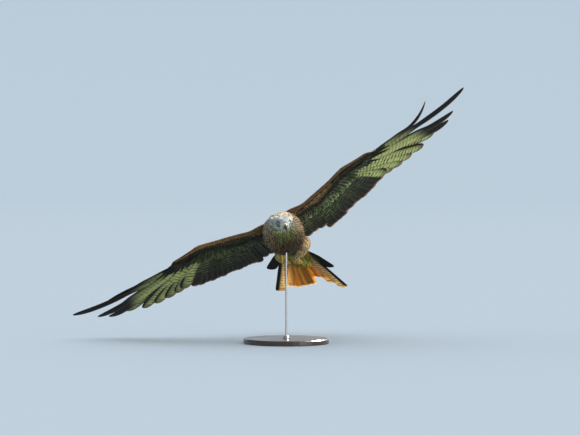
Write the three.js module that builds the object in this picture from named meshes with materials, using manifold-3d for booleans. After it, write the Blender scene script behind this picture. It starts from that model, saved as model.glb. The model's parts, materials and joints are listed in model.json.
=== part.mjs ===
// A red kite in gliding flight, life size, on a plain display stand.
// Units are millimetres and +Z is up. The origin is the centre of the stand's foot.
// The bird's own frame has +X to its left wing, +Y to its tail and +Z to its back,
// and starts midway between its shoulders.
import * as THREE from 'three';
import { mergeVertices } from 'three/addons/utils/BufferGeometryUtils.js';
import Module from 'manifold-3d';

const wasm = await Module();
wasm.setup();

// Attitude: yaw about Z, then pitch about X (nose up is negative), then roll about Y
const SHOULDERS = [-27, -9, 420];
const BIRD_TURN = [-14.2, -20.3, -32];
const HEAD_TURN = [14, 18, -4.3];
const TAIL_TURN = [-16.2, -27.4, -3.3];
const EYES_MIDDLE = [23, -114, -57];
const TAIL_START = [-8, 205, -15];

// The gap left wherever two pieces touch
const GAP = 0.4;

// Wing: arm and hand bones, and where the shoulder, elbow and leading edge lie
const SHOULDER_HALF = 48;
const ARM_LENGTH = 245;
const HAND_LENGTH = 105;
const ELBOW_ALONG = 0.43;
const ELBOW_BEHIND = 54;
const ARM_EDGE_AHEAD = 4;
const HAND_EDGE_AHEAD = 16;
const ROOT_BEHIND = 12;
const WRIST_CLEAR = 0.04;
const DIHEDRAL_STATIONS = [0, 245, 420, 620, 900];

// Feather lengths from skin to tip, innermost primary first
const PRIMARY_LENGTHS = [250, 272, 290, 318, 350, 394, 441, 442, 476, 298];
const SECONDARY_COUNT = 13;
const SECONDARY_LENGTHS = [253, 216];
const TERTIAL_LENGTHS = [204, 196, 185];
const TIP_NOTCH = 8;

// The four outer primaries stand free past these distances from their roots
const FINGER_START = { 7: 335, 8: 300, 9: 235, 10: 170 };
const FINGER_WIDTH = { 7: 30, 8: 27, 9: 27, 10: 16 };
const FINGER_LOUVRE = 3.2;

// Each wing: angles in degrees from the span, fans as innermost to outermost feather
const WINGS = {
  left: {
    side: 1, armForward: 7.5, handBack: 12.3, primaryFan: [62, 16], fanPower: 1.35,
    secondaryFan: [64.3, 91.5], tertialFan: 91, dihedral: [10.6, 7.7, 14, 14.9, 24.4], incidence: [4, 3.3],
    fingerTurn: { 6: 0.6, 7: 1.5, 8: 3.2, 9: -1.5, 10: -0.6 },
    fingerLift: { 6: 12, 7: 11, 8: 12, 9: 15, 10: 45 },
  },
  right: {
    side: -1, armForward: 10.6, handBack: 11.7, primaryFan: [60.3, 18.4], fanPower: 1.23,
    secondaryFan: [67.3, 96.3], tertialFan: 96.5, dihedral: [19.4, 1.7, 9.8, 14, 24.4], incidence: [0.9, 4.5],
    fingerTurn: { 6: 0, 7: 0, 8: 0.5, 9: -4.5, 10: -3 },
    fingerLift: { 6: 12, 7: 12, 8: 10, 9: 10, 10: -6 },
  },
};
// A line inside the trunk where each wing starts, and the length of its feathers
const INNER_ROOT = [-22, 20];
const INNER_LENGTH = 150;
// Share of a feather's step left open between two wing parts
const PART_GAP = 0.012;

// Tail feathers from the bird's right to its left: angle in degrees and length.
// The outermost pair is still growing, and the left side is worn shorter.
const TAIL_FEATHERS = [
  [-29, 205], [-17.5, 392], [-12.6, 346], [-8.7, 352], [-5.4, 345], [-2.6, 335],
  [-0.8, 328], [4.6, 271], [7.9, 283], [10.4, 328], [13.6, 371], [22.5, 198],
];
const TAIL_FEATHER_HALF = 19;
const TAIL_BASE_HALF = 29;
const TAIL_THICK = [5, 1.2];
const TAIL_OPEN = 40;
const FAN_CENTRE = -90;
const FAN_ANGLES = [-27, 23];
const FAN_DROOP = 0.018;
const FAN_LINES = 50;

// Body stations from the breast to the loins: place along Y, top, bottom and half width
const TRUNK_STATIONS = [
  [-45, 18, -86, 56], [-28, 27, -92, 66], [-5, 32, -95, 72], [25, 34, -95, 73], [60, 31, -91, 69],
  [95, 26, -83, 62], [130, 20, -71, 55], [160, 15, -59, 48],
];
const RUMP_END = [50, 12, -22];
const BODY_BEND = 0.05;
const NECK_SHARES = [0.35, 0.7];
const NECK_RISE = 5;

// Head stations from the bill back: place along the head, half width, top and bottom
const HEAD_STATIONS = [
  [-20, 9.5, 9.5, -11], [-17, 13, 13, -14], [-11, 17, 17.5, -18], [-4, 20, 20.5, -21], [3, 23.5, 22, -25],
  [11, 30, 22.5, -29], [20, 35, 21.5, -33], [30, 38.5, 19, -36], [38, 40.5, 17, -38],
];
const EYE_RADIUS = 7.6;
const EYE_PLACE = [15, -1.5, 0];
const SOCKET_RADIUS = 9.5;
const SOCKET_PLACE = [20, -6, 0.5];
const RING_POINTS = 20;
const RING_POWER = 0.86;

// Stand
const BASE_RADIUS = 150;
const BASE_HEIGHT = 18;
const ROD_RADIUS = 3.25;
const FERRULE_RADIUS = 11;
const FERRULE_HEIGHT = 9;
const ROD_TOP = 360;

const rad = THREE.MathUtils.degToRad;
const lerp = THREE.MathUtils.lerp;
const vec = (x, y, z) => new THREE.Vector3(x, y, z);

function turn([yaw, pitch, roll]) {
  return new THREE.Quaternion().setFromEuler(new THREE.Euler(rad(pitch), rad(roll), rad(yaw), 'ZXY'));
}

const birdTurn = turn(BIRD_TURN);
const inBird = (levelTurn) => birdTurn.clone().invert().multiply(turn(levelTurn));

// Value of a list of [place, value] pairs at a place, by straight lines
function along(stations, values, place) {
  let i = 0;
  while (i < stations.length - 2 && place > stations[i + 1]) i += 1;
  const share = (place - stations[i]) / (stations[i + 1] - stations[i]);
  return lerp(values[i], values[i + 1], THREE.MathUtils.clamp(share, 0, 1));
}

// Triangles of a closed body between rings of equal count.
// A strip cap joins a ring's first half to its second half, for flat blades.
function loftFaces(rings, stripCaps) {
  const count = rings[0].length;
  const faces = [];
  const quad = (a, b, c, d) => faces.push(a, b, c, a, c, d);
  for (let r = 0; r < rings.length - 1; r += 1) {
    for (let i = 0; i < count; i += 1) {
      const next = (i + 1) % count;
      quad(r * count + i, r * count + next, (r + 1) * count + next, (r + 1) * count + i);
    }
  }
  for (const [start, flip] of [[0, true], [(rings.length - 1) * count, false]]) {
    const add = (a, b, c) => {
      const corners = flip ? [a, c, b] : [a, b, c];
      faces.push(...corners.map((corner) => start + corner));
    };
    for (let i = 1; i < count - 1; i += 1) {
      if (!stripCaps) add(0, i, i + 1);
    }
    for (let i = 0; stripCaps && i < count / 2 - 1; i += 1) {
      add(i, i + 1, count - 2 - i);
      add(i, count - 2 - i, count - 1 - i);
    }
  }
  return faces;
}

function signedVolume(points, faces) {
  let sum = 0;
  for (let i = 0; i < faces.length; i += 3) {
    const [a, b, c] = [points[faces[i]], points[faces[i + 1]], points[faces[i + 2]]];
    sum += a.dot(b.clone().cross(c));
  }
  return sum / 6;
}

function loft(rings, stripCaps = false) {
  const points = rings.flat();
  const faces = loftFaces(rings, stripCaps);
  if (signedVolume(points, faces) < 0) faces.reverse();
  const geometry = new THREE.BufferGeometry().setFromPoints(points);
  geometry.setIndex(faces);
  return geometry;
}

function toSolid(geometry) {
  const plain = geometry.clone();
  plain.deleteAttribute('normal');
  plain.deleteAttribute('uv');
  const merged = mergeVertices(plain, 1e-4);
  return new wasm.Manifold(new wasm.Mesh({
    numProp: 3,
    vertProperties: Float32Array.from(merged.attributes.position.array),
    triVerts: Uint32Array.from(merged.index.array),
  }));
}

function fromSolid(solid) {
  const mesh = solid.getMesh();
  const geometry = new THREE.BufferGeometry();
  geometry.setAttribute('position', new THREE.BufferAttribute(Float32Array.from(mesh.vertProperties), 3));
  geometry.setIndex(Array.from(mesh.triVerts));
  return geometry;
}

function cut(geometry, ...tools) {
  return fromSolid(tools.reduce((solid, tool) => solid.subtract(toSolid(tool)), toSolid(geometry)));
}

function join(...geometries) {
  return fromSolid(geometries.map(toSolid).reduce((sum, solid) => sum.add(solid)));
}

function named(name, geometry, material) {
  const flat = geometry.index ? geometry.toNonIndexed() : geometry;
  flat.computeVertexNormals();
  const mesh = new THREE.Mesh(flat, material);
  mesh.name = name;
  return mesh;
}

const paint = (color, roughness = 0.8, metalness = 0) => (
  new THREE.MeshStandardMaterial({ color, roughness, metalness }));

// Body rings

// An egg-shaped ring: half width, top and bottom about a centre, in the plane of a turn
function bodyRing(centre, halfWidth, top, bottom, orientation) {
  const ring = [];
  for (let i = 0; i < RING_POINTS; i += 1) {
    const angle = (2 * Math.PI * i) / RING_POINTS;
    const round = (value) => Math.sign(value) * Math.abs(value) ** RING_POWER;
    const height = round(Math.sin(angle));
    const local = vec(halfWidth * round(Math.cos(angle)), 0, height > 0 ? top * height : -bottom * height);
    ring.push(local.applyQuaternion(orientation).add(centre));
  }
  return ring;
}

const bodyTurn = new THREE.Quaternion().setFromEuler(new THREE.Euler(0, 0, Math.atan(BODY_BEND)));
const headTurn = inBird(HEAD_TURN);
const tailTurn = inBird(TAIL_TURN);
const eyesMiddle = vec(...EYES_MIDDLE);

function trunkRing([place, top, bottom, halfWidth], grow = 0) {
  const middle = (top + bottom) / 2;
  const centre = vec(-BODY_BEND * place, place, middle);
  const half = (top - bottom) / 2 + grow;
  return bodyRing(centre, halfWidth + grow, half, -half, bodyTurn);
}

function headRing([place, halfWidth, top, bottom], grow = 0) {
  const centre = vec(0, place, 0).applyQuaternion(headTurn).add(eyesMiddle);
  return bodyRing(centre, halfWidth + grow, top + grow, bottom - grow, headTurn);
}

const shiftRing = (ring, amount, orientation) => {
  const step = vec(0, amount, 0).applyQuaternion(orientation);
  return ring.map((point) => point.clone().add(step));
};

// Rings between the back of the head and the front of the trunk, turned step by step
function neckRings() {
  const back = HEAD_STATIONS.at(-1);
  const [place, top, bottom, halfWidth] = TRUNK_STATIONS[0];
  const start = shiftRing(headRing(back), GAP, headTurn);
  const end = shiftRing(trunkRing(TRUNK_STATIONS[0]), -GAP, bodyTurn);
  const from = vec(0, back[0], 0).applyQuaternion(headTurn).add(eyesMiddle);
  const to = vec(-BODY_BEND * place, place, (top + bottom) / 2);
  const rings = [start];
  for (const share of NECK_SHARES) {
    const centre = from.clone().lerp(to, share).add(vec(0, 0, NECK_RISE * Math.sin(Math.PI * share)));
    const orientation = headTurn.clone().slerp(bodyTurn, share);
    const half = (top - bottom) / 2;
    rings.push(bodyRing(centre, lerp(back[1], halfWidth, share), lerp(back[2], half, share),
      lerp(back[3], -half, share), orientation));
  }
  rings.push(end);
  return rings;
}

// Rump rings from the trunk's end to where the tail opens, turned level step by step
function rumpRings(grow = 0) {
  const [place, top, bottom, halfWidth] = TRUNK_STATIONS.at(-1);
  const from = vec(-BODY_BEND * place, place, (top + bottom) / 2);
  const tailOpen = vec(0, TAIL_OPEN, (RUMP_END[1] + RUMP_END[2]) / 2);
  const to = tailOpen.applyQuaternion(tailTurn).add(vec(...TAIL_START));
  const half = (top - bottom) / 2;
  const halfEnd = (RUMP_END[1] - RUMP_END[2]) / 2;
  return [0, 0.3, 0.65, 1].map((share) => {
    const centre = from.clone().lerp(to, share);
    const high = lerp(half, halfEnd, share) + grow;
    const ring = bodyRing(centre, lerp(halfWidth, RUMP_END[0], share) + grow, high, -high,
      bodyTurn.clone().slerp(tailTurn, share));
    return share === 0 && !grow ? shiftRing(ring, GAP, bodyTurn) : ring;
  });
}

// Wing surface

const flat = (angle, length) => (
  new THREE.Vector2(Math.cos(rad(angle)), Math.sin(rad(angle))).multiplyScalar(length));

// The wing's flat plan: span along X from the shoulder, chord along Y to the rear
function wingPlan(wing) {
  const wrist = flat(-wing.armForward, ARM_LENGTH);
  const handTip = wrist.clone().add(flat(wing.handBack, HAND_LENGTH));
  const behind = flat(90 - wing.armForward, ELBOW_BEHIND);
  const elbow = wrist.clone().multiplyScalar(ELBOW_ALONG).add(behind);
  const shoulder = new THREE.Vector2(0, 20);
  const edge = (ahead) => new THREE.Vector2(0, -ahead);
  const down = new THREE.Vector2(0, ROOT_BEHIND);
  const feathers = [];
  const add = (name, part, root, angle, length, lead, lift) => {
    feathers.push({ name, part, root, angle, length, lead, lift });
  };
  for (let t = 3; t >= 1; t -= 1) {
    const share = t / 4;
    const lead = wrist.clone().multiplyScalar(ELBOW_ALONG * (1 - share)).add(edge(ARM_EDGE_AHEAD));
    add(`T${t}`, 'upper_arm', elbow.clone().lerp(shoulder, share),
      lerp(wing.secondaryFan[1], wing.tertialFan, share), TERTIAL_LENGTHS[t - 1], lead, 0);
  }
  for (let s = SECONDARY_COUNT; s >= 1; s -= 1) {
    const share = (s - 1) / (SECONDARY_COUNT - 1);
    const place = lerp(WRIST_CLEAR, 1, share);
    const ahead = lerp(HAND_EDGE_AHEAD, ARM_EDGE_AHEAD, Math.min(2 * place, 1));
    const lead = wrist.clone().multiplyScalar(lerp(1, ELBOW_ALONG, place)).add(edge(ahead));
    add(`S${s}`, 'forearm', wrist.clone().lerp(elbow, place).add(down),
      lerp(...wing.secondaryFan, share), lerp(...SECONDARY_LENGTHS, share), lead, 0);
  }
  for (let p = 1; p <= 10; p += 1) {
    const share = (p - 1) / 9;
    const place = lerp(2 * WRIST_CLEAR, 1, share);
    const angle = lerp(...wing.primaryFan, share ** wing.fanPower) + (wing.fingerTurn[p] ?? 0);
    const lead = wrist.clone().lerp(handTip, place).add(edge(HAND_EDGE_AHEAD));
    add(`P${p}`, 'hand', wrist.clone().lerp(handTip, place).add(down), angle, PRIMARY_LENGTHS[p - 1], lead,
      wing.fingerLift[p] ?? 0);
  }
  return feathers;
}

// A point of the flat plan, with a height above it, carried onto the bent wing
function onWing(wing, point, height) {
  const steps = 24;
  let x = 0;
  let z = 0;
  for (let i = 0; i < steps; i += 1) {
    const angle = rad(along(DIHEDRAL_STATIONS, wing.dihedral, (point.x * (i + 0.5)) / steps));
    x += (Math.cos(angle) * point.x) / steps;
    z += (Math.sin(angle) * point.x) / steps;
  }
  const angle = rad(along(DIHEDRAL_STATIONS, wing.dihedral, point.x));
  const pitch = rad(along([0, ARM_LENGTH], wing.incidence, point.x));
  const rise = height - point.y * Math.sin(pitch);
  return vec(wing.side * (SHOULDER_HALF + x - Math.sin(angle) * rise), point.y * Math.cos(pitch),
    z + Math.cos(angle) * rise);
}

// Thickness and camber along a feather's line, from leading edge to tip
const SHEET_PLACES = [0, 0.5, 1, 1.25, 1.6, 2];
const THICK_ARM = [7, 20, 15, 7, 2.6, 1.2];
const THICK_WRIST = [6, 17, 11, 4.5, 2, 1.2];
const THICK_TIP = [3, 5, 4, 2.6, 1.6, 1.2];
const CAMBER = [0, 3, 7, 10, 7, 0];
const SLIM_FLATTENS = 0.35;

// The chordwise ring of the sheet along one line: lead to root to end
function sheetRing(wing, lead, root, end, slim, grow = 0, lift = 0) {
  const places = SHEET_PLACES.map((place) => (place <= 1 ? lead.clone().lerp(root, place)
    : root.clone().lerp(end, place - 1)));
  const thick = SHEET_PLACES.map((_, i) => (slim < 1 ? lerp(THICK_ARM[i], THICK_WRIST[i], slim)
    : lerp(THICK_WRIST[i], THICK_TIP[i], slim - 1)) + 2 * grow);
  const bend = (place) => lift * Math.max(place - 1, 0) ** 2;
  const camber = CAMBER.map((value, i) => value * (1 - SLIM_FLATTENS * slim) + bend(SHEET_PLACES[i]));
  const top = places.map((place, i) => onWing(wing, place, camber[i] + thick[i] / 2));
  const bottom = places.map((place, i) => onWing(wing, place, camber[i] - thick[i] / 2));
  return [...top, ...bottom.reverse()];
}

const slimAt = (feather) => {
  if (feather.part === 'upper_arm') return 0;
  const number = Number(feather.name.slice(1));
  return feather.part === 'forearm' ? 1 - (number - 1) / SECONDARY_COUNT : 1 + (number - 1) / 9;
};

// The reach of a feather in the sheet: its whole length, or the start of its free part
const isFinger = (feather) => feather.part === 'hand' && Number(feather.name.slice(1)) >= 7;
const reach = (feather) => (isFinger(feather) ? FINGER_START[Number(feather.name.slice(1))] : feather.length);

function mixLine(wing, a, b, share, shorten, grow = 0, cap = Infinity) {
  const root = a.root.clone().lerp(b.root, share);
  const angle = lerp(a.angle, b.angle, share);
  const length = Math.min(lerp(reach(a), reach(b), share) - shorten, cap) + grow;
  const lead = a.lead.clone().lerp(b.lead, share);
  const end = root.clone().add(flat(angle, length));
  const bend = (item) => (isFinger(item) ? 0 : item.lift);
  const slim = lerp(slimAt(a), slimAt(b), share);
  return sheetRing(wing, lead, root, end, slim, grow, lerp(bend(a), bend(b), share));
}

// One part of the wing: feathers first to last as a single sheet with a notched rear edge
function wingSheet(wing, feathers, startRing, endRing, grow = 0) {
  const rings = startRing ? [startRing] : [];
  feathers.forEach((feather, i) => {
    const next = feathers[i + 1];
    rings.push(mixLine(wing, feather, feather, 0, 0, grow));
    if (!next) return;
    if (isFinger(next)) {
      const cap = Math.min(reach(feather), reach(next) + TIP_NOTCH);
      rings.push(mixLine(wing, feather, next, 0.46, 0, grow, cap));
      rings.push(mixLine(wing, feather, next, 0.54, 0, grow, reach(next)));
    } else {
      rings.push(mixLine(wing, feather, next, 0.5, TIP_NOTCH, grow));
    }
  });
  if (endRing) rings.push(endRing);
  return loft(rings, true);
}

// A free outer primary from its slot to its tip, bent up by its lift
function fingerBlade(wing, feather) {
  const number = Number(feather.name.slice(1));
  const start = FINGER_START[number] - 3;
  const full = FINGER_WIDTH[number] / 2;
  const across = flat(feather.angle + 90, 1);
  const rings = [0, 0.15, 0.35, 0.55, 0.75, 0.9, 1].map((share) => {
    const middle = feather.root.clone().add(flat(feather.angle, lerp(start, feather.length, share)));
    const half = full * Math.min(1, 0.08 + 1.05 * Math.sqrt(1 - share ** 3));
    const height = feather.lift * share * share;
    const thick = lerp(1.4, 0.8, share);
    const row = [-1, -0.5, 0.5, 1];
    const edge = (side, sign) => {
      const bulge = thick * (Math.abs(side) < 1 ? 0.5 : 0.3);
      return onWing(wing, middle.clone().addScaledVector(across, side * half),
        height - side * FINGER_LOUVRE + sign * bulge);
    };
    return [...row.map((side) => edge(side, 1)), ...row.map((side) => edge(side, -1)).reverse()];
  });
  return loft(rings, true);
}

// The small thumb blade along the leading edge of the hand, just above it:
// half widths at shares of the hand's leading edge, and its height at the wrist and at the end
const ALULA = [[0.15, 8], [0.5, 8], [0.9, 8], [1.15, 3]];
const ALULA_BEHIND = 15;
const ALULA_LIFT = [12.3, 5.3];
const ALULA_THICK = 1.4;

function alulaBlade(wing, feathers) {
  const from = feathers.find((item) => item.name === 'P1').lead;
  const to = feathers.find((item) => item.name === 'P10').lead;
  const rings = ALULA.map(([share, half]) => {
    const middle = from.clone().lerp(to, share).add(new THREE.Vector2(0, ALULA_BEHIND));
    const lift = lerp(...ALULA_LIFT, share);
    const row = [-1, 1].map((side) => middle.clone().add(new THREE.Vector2(0, side * half)));
    return [...row.map((point) => onWing(wing, point, lift + ALULA_THICK / 2)),
      ...row.reverse().map((point) => onWing(wing, point, lift - ALULA_THICK / 2))];
  });
  return loft(rings, true);
}

// Tail

// How far a line from the fan's centre runs inside a feather, or nothing if it misses it
function reachInFeather(line, index) {
  const [angle, length] = TAIL_FEATHERS[index];
  const share = index / (TAIL_FEATHERS.length - 1);
  const base = new THREE.Vector2(lerp(-TAIL_BASE_HALF, TAIL_BASE_HALF, share), 0);
  const way = new THREE.Vector2(Math.sin(rad(angle)), Math.cos(rad(angle)));
  const start = new THREE.Vector2(0, FAN_CENTRE).sub(base);
  const [sideStart, sideStep] = [start.cross(way), line.cross(way)];
  const end = (length - start.dot(way)) / line.dot(way);
  const sideReach = (Math.sign(sideStep) * TAIL_FEATHER_HALF - sideStart) / sideStep;
  const offAxis = Math.abs(sideStart + sideStep * end) / TAIL_FEATHER_HALF;
  return Math.min(end - 12 * Math.min(offAxis, 1) ** 2, sideReach);
}

function tailReach(line) {
  return Math.max(...TAIL_FEATHERS.map((_, index) => reachInFeather(line, index)));
}

// The spread tail as one thin sheet, from the line where it opens to its feather tips
function tailSheet() {
  const rings = [];
  for (let i = 0; i <= FAN_LINES; i += 1) {
    const angle = lerp(...FAN_ANGLES, i / FAN_LINES);
    const line = new THREE.Vector2(Math.sin(rad(angle)), Math.cos(rad(angle)));
    const near = (TAIL_OPEN + GAP - FAN_CENTRE) / line.y;
    const far = Math.max(tailReach(line), near + 10);
    const droop = (distance) => -FAN_DROOP * (angle / FAN_ANGLES[0]) ** 2 * (distance - near);
    const place = (share, side) => {
      const distance = lerp(near, far, share);
      const thick = lerp(...TAIL_THICK, share);
      return vec(line.x * distance, FAN_CENTRE + line.y * distance, droop(distance) + (side * thick) / 2);
    };
    const row = [0, 0.4, 1];
    rings.push([...row.map((share) => place(share, 1)), ...row.reverse().map((share) => place(share, -1))]);
  }
  return loft(rings, true);
}

// Head parts, in the head's own frame

function tubeAlong(stations, sides) {
  const rings = stations.map(([x, y, z, halfWidth, halfHeight, tilt]) => {
    const ring = [];
    for (let i = 0; i < sides; i += 1) {
      const angle = (2 * Math.PI * i) / sides;
      const up = halfHeight * Math.sin(angle);
      const [back, rise] = [Math.sin(rad(tilt)), Math.cos(rad(tilt))];
      ring.push(vec(x + halfWidth * Math.cos(angle), y - up * back, z + up * rise));
    }
    return ring;
  });
  return loft(rings);
}

const cereShape = () => tubeAlong([[0, -20 - GAP, 1.6, 8.6, 7.4, 0], [0, -25, 2, 7.6, 7.2, 4],
  [0, -29.5, 1.9, 6.6, 6.9, 10]], 14);

const billShape = () => tubeAlong([[0, -29.5 - GAP, 1.8, 6.5, 6.8, 10], [0, -33.5, 0.9, 5.6, 6.6, 24],
  [0, -37.3, -1.8, 4.4, 5.6, 44], [0, -39.6, -6.2, 3.2, 4, 66], [0, -40.4, -11, 2, 2.3, 84],
  [0, -40.2, -16.5, 0.5, 0.5, 96]], 14);

const lowerBillShape = () => tubeAlong([[0, -20 - GAP, -9.2, 7, 2.2, 0], [0, -27, -9, 5.4, 2, 0],
  [0, -32, -8.6, 3.6, 1.5, -4], [0, -34.2, -8.2, 1.6, 0.8, -6]], 12);

// Legs, drawn back under the tail

const THIGH_STATIONS = [[43, 94, -52, 18.5], [47, 122, -58, 22.5], [46, 150, -58, 20]];
const THIGH_END = [15, 8];
const SHANK_RADII = [4.6, 4];
const FOOT_RADIUS = 5.6;
const TOE_RADII = [3.6, 3.3, 2.6];
const CLAW_RADII = [2.1, 1.6, 0.35];
const onTail = (x, y, z) => vec(x, y, z).applyQuaternion(tailTurn).add(vec(...TAIL_START));
const ankle = (side) => onTail(side * 25, -18, -53);

function thigh(side) {
  const centres = THIGH_STATIONS.map(([x, y, z, radius]) => [vec(side * x - BODY_BEND * y, y, z), radius]);
  const last = centres.at(-1)[0];
  const knee = last.clone().lerp(ankle(side), 0.5).add(vec(0, 0, -4));
  centres.push([knee, THIGH_END[0]], [ankle(side), THIGH_END[1]]);
  return loft(centres.map(([centre, radius]) => {
    const ring = [];
    for (let i = 0; i < 14; i += 1) {
      const angle = (2 * Math.PI * i) / 14;
      ring.push(centre.clone().add(vec(radius * Math.cos(angle), 0, radius * Math.sin(angle))));
    }
    return ring;
  }));
}

function limb(points, radii, sides = 8) {
  return loft(points.map((point, i) => {
    const before = points[Math.max(i - 1, 0)];
    const after = points[Math.min(i + 1, points.length - 1)];
    const axis = after.clone().sub(before).normalize();
    const across = vec(1, 0, 0).addScaledVector(axis, -axis.x).normalize();
    const up = axis.clone().cross(across);
    const ring = [];
    for (let k = 0; k < sides; k += 1) {
      const angle = (2 * Math.PI * k) / sides;
      ring.push(point.clone().addScaledVector(across, radii[i] * Math.cos(angle))
        .addScaledVector(up, radii[i] * Math.sin(angle)));
    }
    return ring;
  }));
}

// Toe ends: three forward toes folded side by side and the hind toe below
const TOE_ENDS = [[-9, 30, -3], [0, 34, -3], [9, 29, -3], [0, 15, -14]];
const toeStart = (side) => onTail(side * 23, 20, -42);
const toeLine = (side, [x, y, z]) => {
  const start = toeStart(side);
  const middle = onTail(side * 23 + x * 0.65, 20 + y / 2, -43 + z / 2);
  return [start, middle, onTail(side * 23 + x, 20 + y, -40 + z)];
};

function footShape(side) {
  const start = toeStart(side);
  const shank = limb([ankle(side).add(vec(0, 2 * GAP, 0)), start.clone()], SHANK_RADII);
  const knot = new THREE.SphereGeometry(FOOT_RADIUS, 12, 8).translate(start.x, start.y + 1, start.z);
  const toes = TOE_ENDS.map((toe) => limb(toeLine(side, toe), TOE_RADII));
  return join(shank, knot, ...toes);
}

function clawShape(side, toe) {
  const [, middle, end] = toeLine(side, toe);
  const way = end.clone().sub(middle).normalize();
  const base = end.clone().addScaledVector(way, GAP);
  const knuckle = base.clone().addScaledVector(way, 5);
  const point = knuckle.clone().addScaledVector(way, 5).add(vec(0, 0, -6));
  return limb([base, knuckle, point], CLAW_RADII);
}

// Build

const group = new THREE.Group();
const bird = new THREE.Group();
bird.position.set(...SHOULDERS);
bird.quaternion.copy(birdTurn);
group.add(bird);

const head = new THREE.Group();
head.position.copy(eyesMiddle);
head.quaternion.copy(headTurn);
bird.add(head);

const tail = new THREE.Group();
tail.position.set(...TAIL_START);
tail.quaternion.copy(tailTurn);
bird.add(tail);

const pale = paint(0xb3c0c0);
const brown = paint(0x6b4a30);
const dark = paint(0x2c2824);
const rufous = paint(0xb8702a);
const yellow = paint(0xd9b23c, 0.5);
const horn = paint(0x23283a, 0.35);

// Head pieces
const eyeBall = (side, radius) => {
  const place = vec(side * EYE_PLACE[0], EYE_PLACE[1], EYE_PLACE[2]);
  return new THREE.SphereGeometry(radius, 16, 10).translate(place.x, place.y, place.z);
};
const socket = (side) => new THREE.SphereGeometry(SOCKET_RADIUS, 14, 8)
  .translate(side * SOCKET_PLACE[0], SOCKET_PLACE[1], SOCKET_PLACE[2]);
const toBirdFrame = (geometry) => geometry.applyQuaternion(headTurn).translate(...eyesMiddle.toArray());
const headSolid = cut(loft(HEAD_STATIONS.map((station) => headRing(station))),
  ...[1, -1].flatMap((side) => [eyeBall(side, EYE_RADIUS + GAP), socket(side)]).map(toBirdFrame));
bird.add(named('head', headSolid, pale));
head.add(named('cere', cereShape(), yellow));
head.add(named('bill_upper', billShape(), horn));
head.add(named('bill_lower', lowerBillShape(), horn));
head.add(named('eye_left', eyeBall(1, EYE_RADIUS), paint(0xc9c27a, 0.1)));
head.add(named('eye_right', eyeBall(-1, EYE_RADIUS), paint(0xc9c27a, 0.1)));
bird.add(named('neck', loft(neckRings()), pale));

// Trunk and rump, with a seat for the rod
const trunkShape = (grow) => loft(TRUNK_STATIONS.map((station) => trunkRing(station, grow)));
const bodyTools = () => [trunkShape(GAP), loft(rumpRings(GAP))];
bird.add(named('trunk', trunkShape(0), brown));
bird.add(named('rump', loft(rumpRings()), brown));
tail.add(named('tail', tailSheet(), rufous));

// Wings
for (const [name, wing] of Object.entries(WINGS)) {
  const feathers = wingPlan(wing);
  const pick = (part) => feathers.filter((item) => item.part === part);
  const split = (a, b, share) => mixLine(wing, a, b, share, TIP_NOTCH);
  const [upper, fore, hand] = ['upper_arm', 'forearm', 'hand'].map(pick);
  const handGrown = wingSheet(wing, hand, null, null, GAP);
  const innerLead = new THREE.Vector2(INNER_ROOT[0], -ARM_EDGE_AHEAD);
  const innerRoot = new THREE.Vector2(...INNER_ROOT);
  const inner = { ...upper[0], root: innerRoot, lead: innerLead, length: INNER_LENGTH };
  const upperSheet = wingSheet(wing, upper, mixLine(wing, inner, inner, 0, 0),
    split(upper.at(-1), fore[0], 0.5 - PART_GAP));
  const foreSheet = wingSheet(wing, fore, split(upper.at(-1), fore[0], 0.5 + PART_GAP),
    split(fore.at(-1), hand[0], 0.5 - 3 * PART_GAP));
  const handSheet = wingSheet(wing, hand, split(fore.at(-1), hand[0], 0.5 + 3 * PART_GAP), null);
  bird.add(named(`wing_${name}_upper_arm`, cut(upperSheet, ...bodyTools()), brown));
  bird.add(named(`wing_${name}_forearm`, foreSheet, dark));
  bird.add(named(`wing_${name}_hand`, handSheet, dark));
  for (const feather of hand.slice(6)) {
    const blade = cut(fingerBlade(wing, feather), handGrown);
    bird.add(named(`wing_${name}_primary_${feather.name.slice(1)}`, blade, dark));
  }
  bird.add(named(`wing_${name}_alula`, alulaBlade(wing, feathers), dark));
}

// Legs
for (const [name, side] of [['left', 1], ['right', -1]]) {
  bird.add(named(`thigh_${name}`, cut(thigh(side), ...bodyTools()), brown));
  bird.add(named(`foot_${name}`, footShape(side), yellow));
  TOE_ENDS.forEach((toe, i) => bird.add(named(`claw_${name}_${i + 1}`, clawShape(side, toe), horn)));
}

// Stand
const baseProfile = [[0, 0], [BASE_RADIUS - 2, 0], [BASE_RADIUS, 2], [BASE_RADIUS, BASE_HEIGHT - 3],
  [BASE_RADIUS - 3, BASE_HEIGHT], [0, BASE_HEIGHT]].map(([x, y]) => new THREE.Vector2(x, y));
const standing = (geometry) => geometry.rotateX(Math.PI / 2);
group.add(named('stand_base', standing(new THREE.LatheGeometry(baseProfile, 40)), paint(0x2b2420, 0.4)));
const rodFoot = BASE_HEIGHT + GAP;
const ferrule = new THREE.LatheGeometry([[ROD_RADIUS + GAP, 0], [FERRULE_RADIUS, 0], [FERRULE_RADIUS, 3],
  [ROD_RADIUS + 3, FERRULE_HEIGHT], [ROD_RADIUS + GAP, FERRULE_HEIGHT], [ROD_RADIUS + GAP, 0]]
  .map(([x, y]) => new THREE.Vector2(x, y)), 20);
group.add(named('stand_ferrule', standing(ferrule).translate(0, 0, rodFoot), paint(0xb9bcc0, 0.3, 1)));
const rodLength = ROD_TOP - rodFoot;
const rod = new THREE.CylinderGeometry(ROD_RADIUS, ROD_RADIUS, rodLength, 20)
  .rotateX(Math.PI / 2).translate(0, 0, rodFoot + rodLength / 2);
const trunkWorld = trunkShape(GAP).applyQuaternion(birdTurn).translate(...SHOULDERS);
group.add(named('stand_rod', cut(rod, trunkWorld), paint(0xb9bcc0, 0.3, 1)));

export default group;
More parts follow.
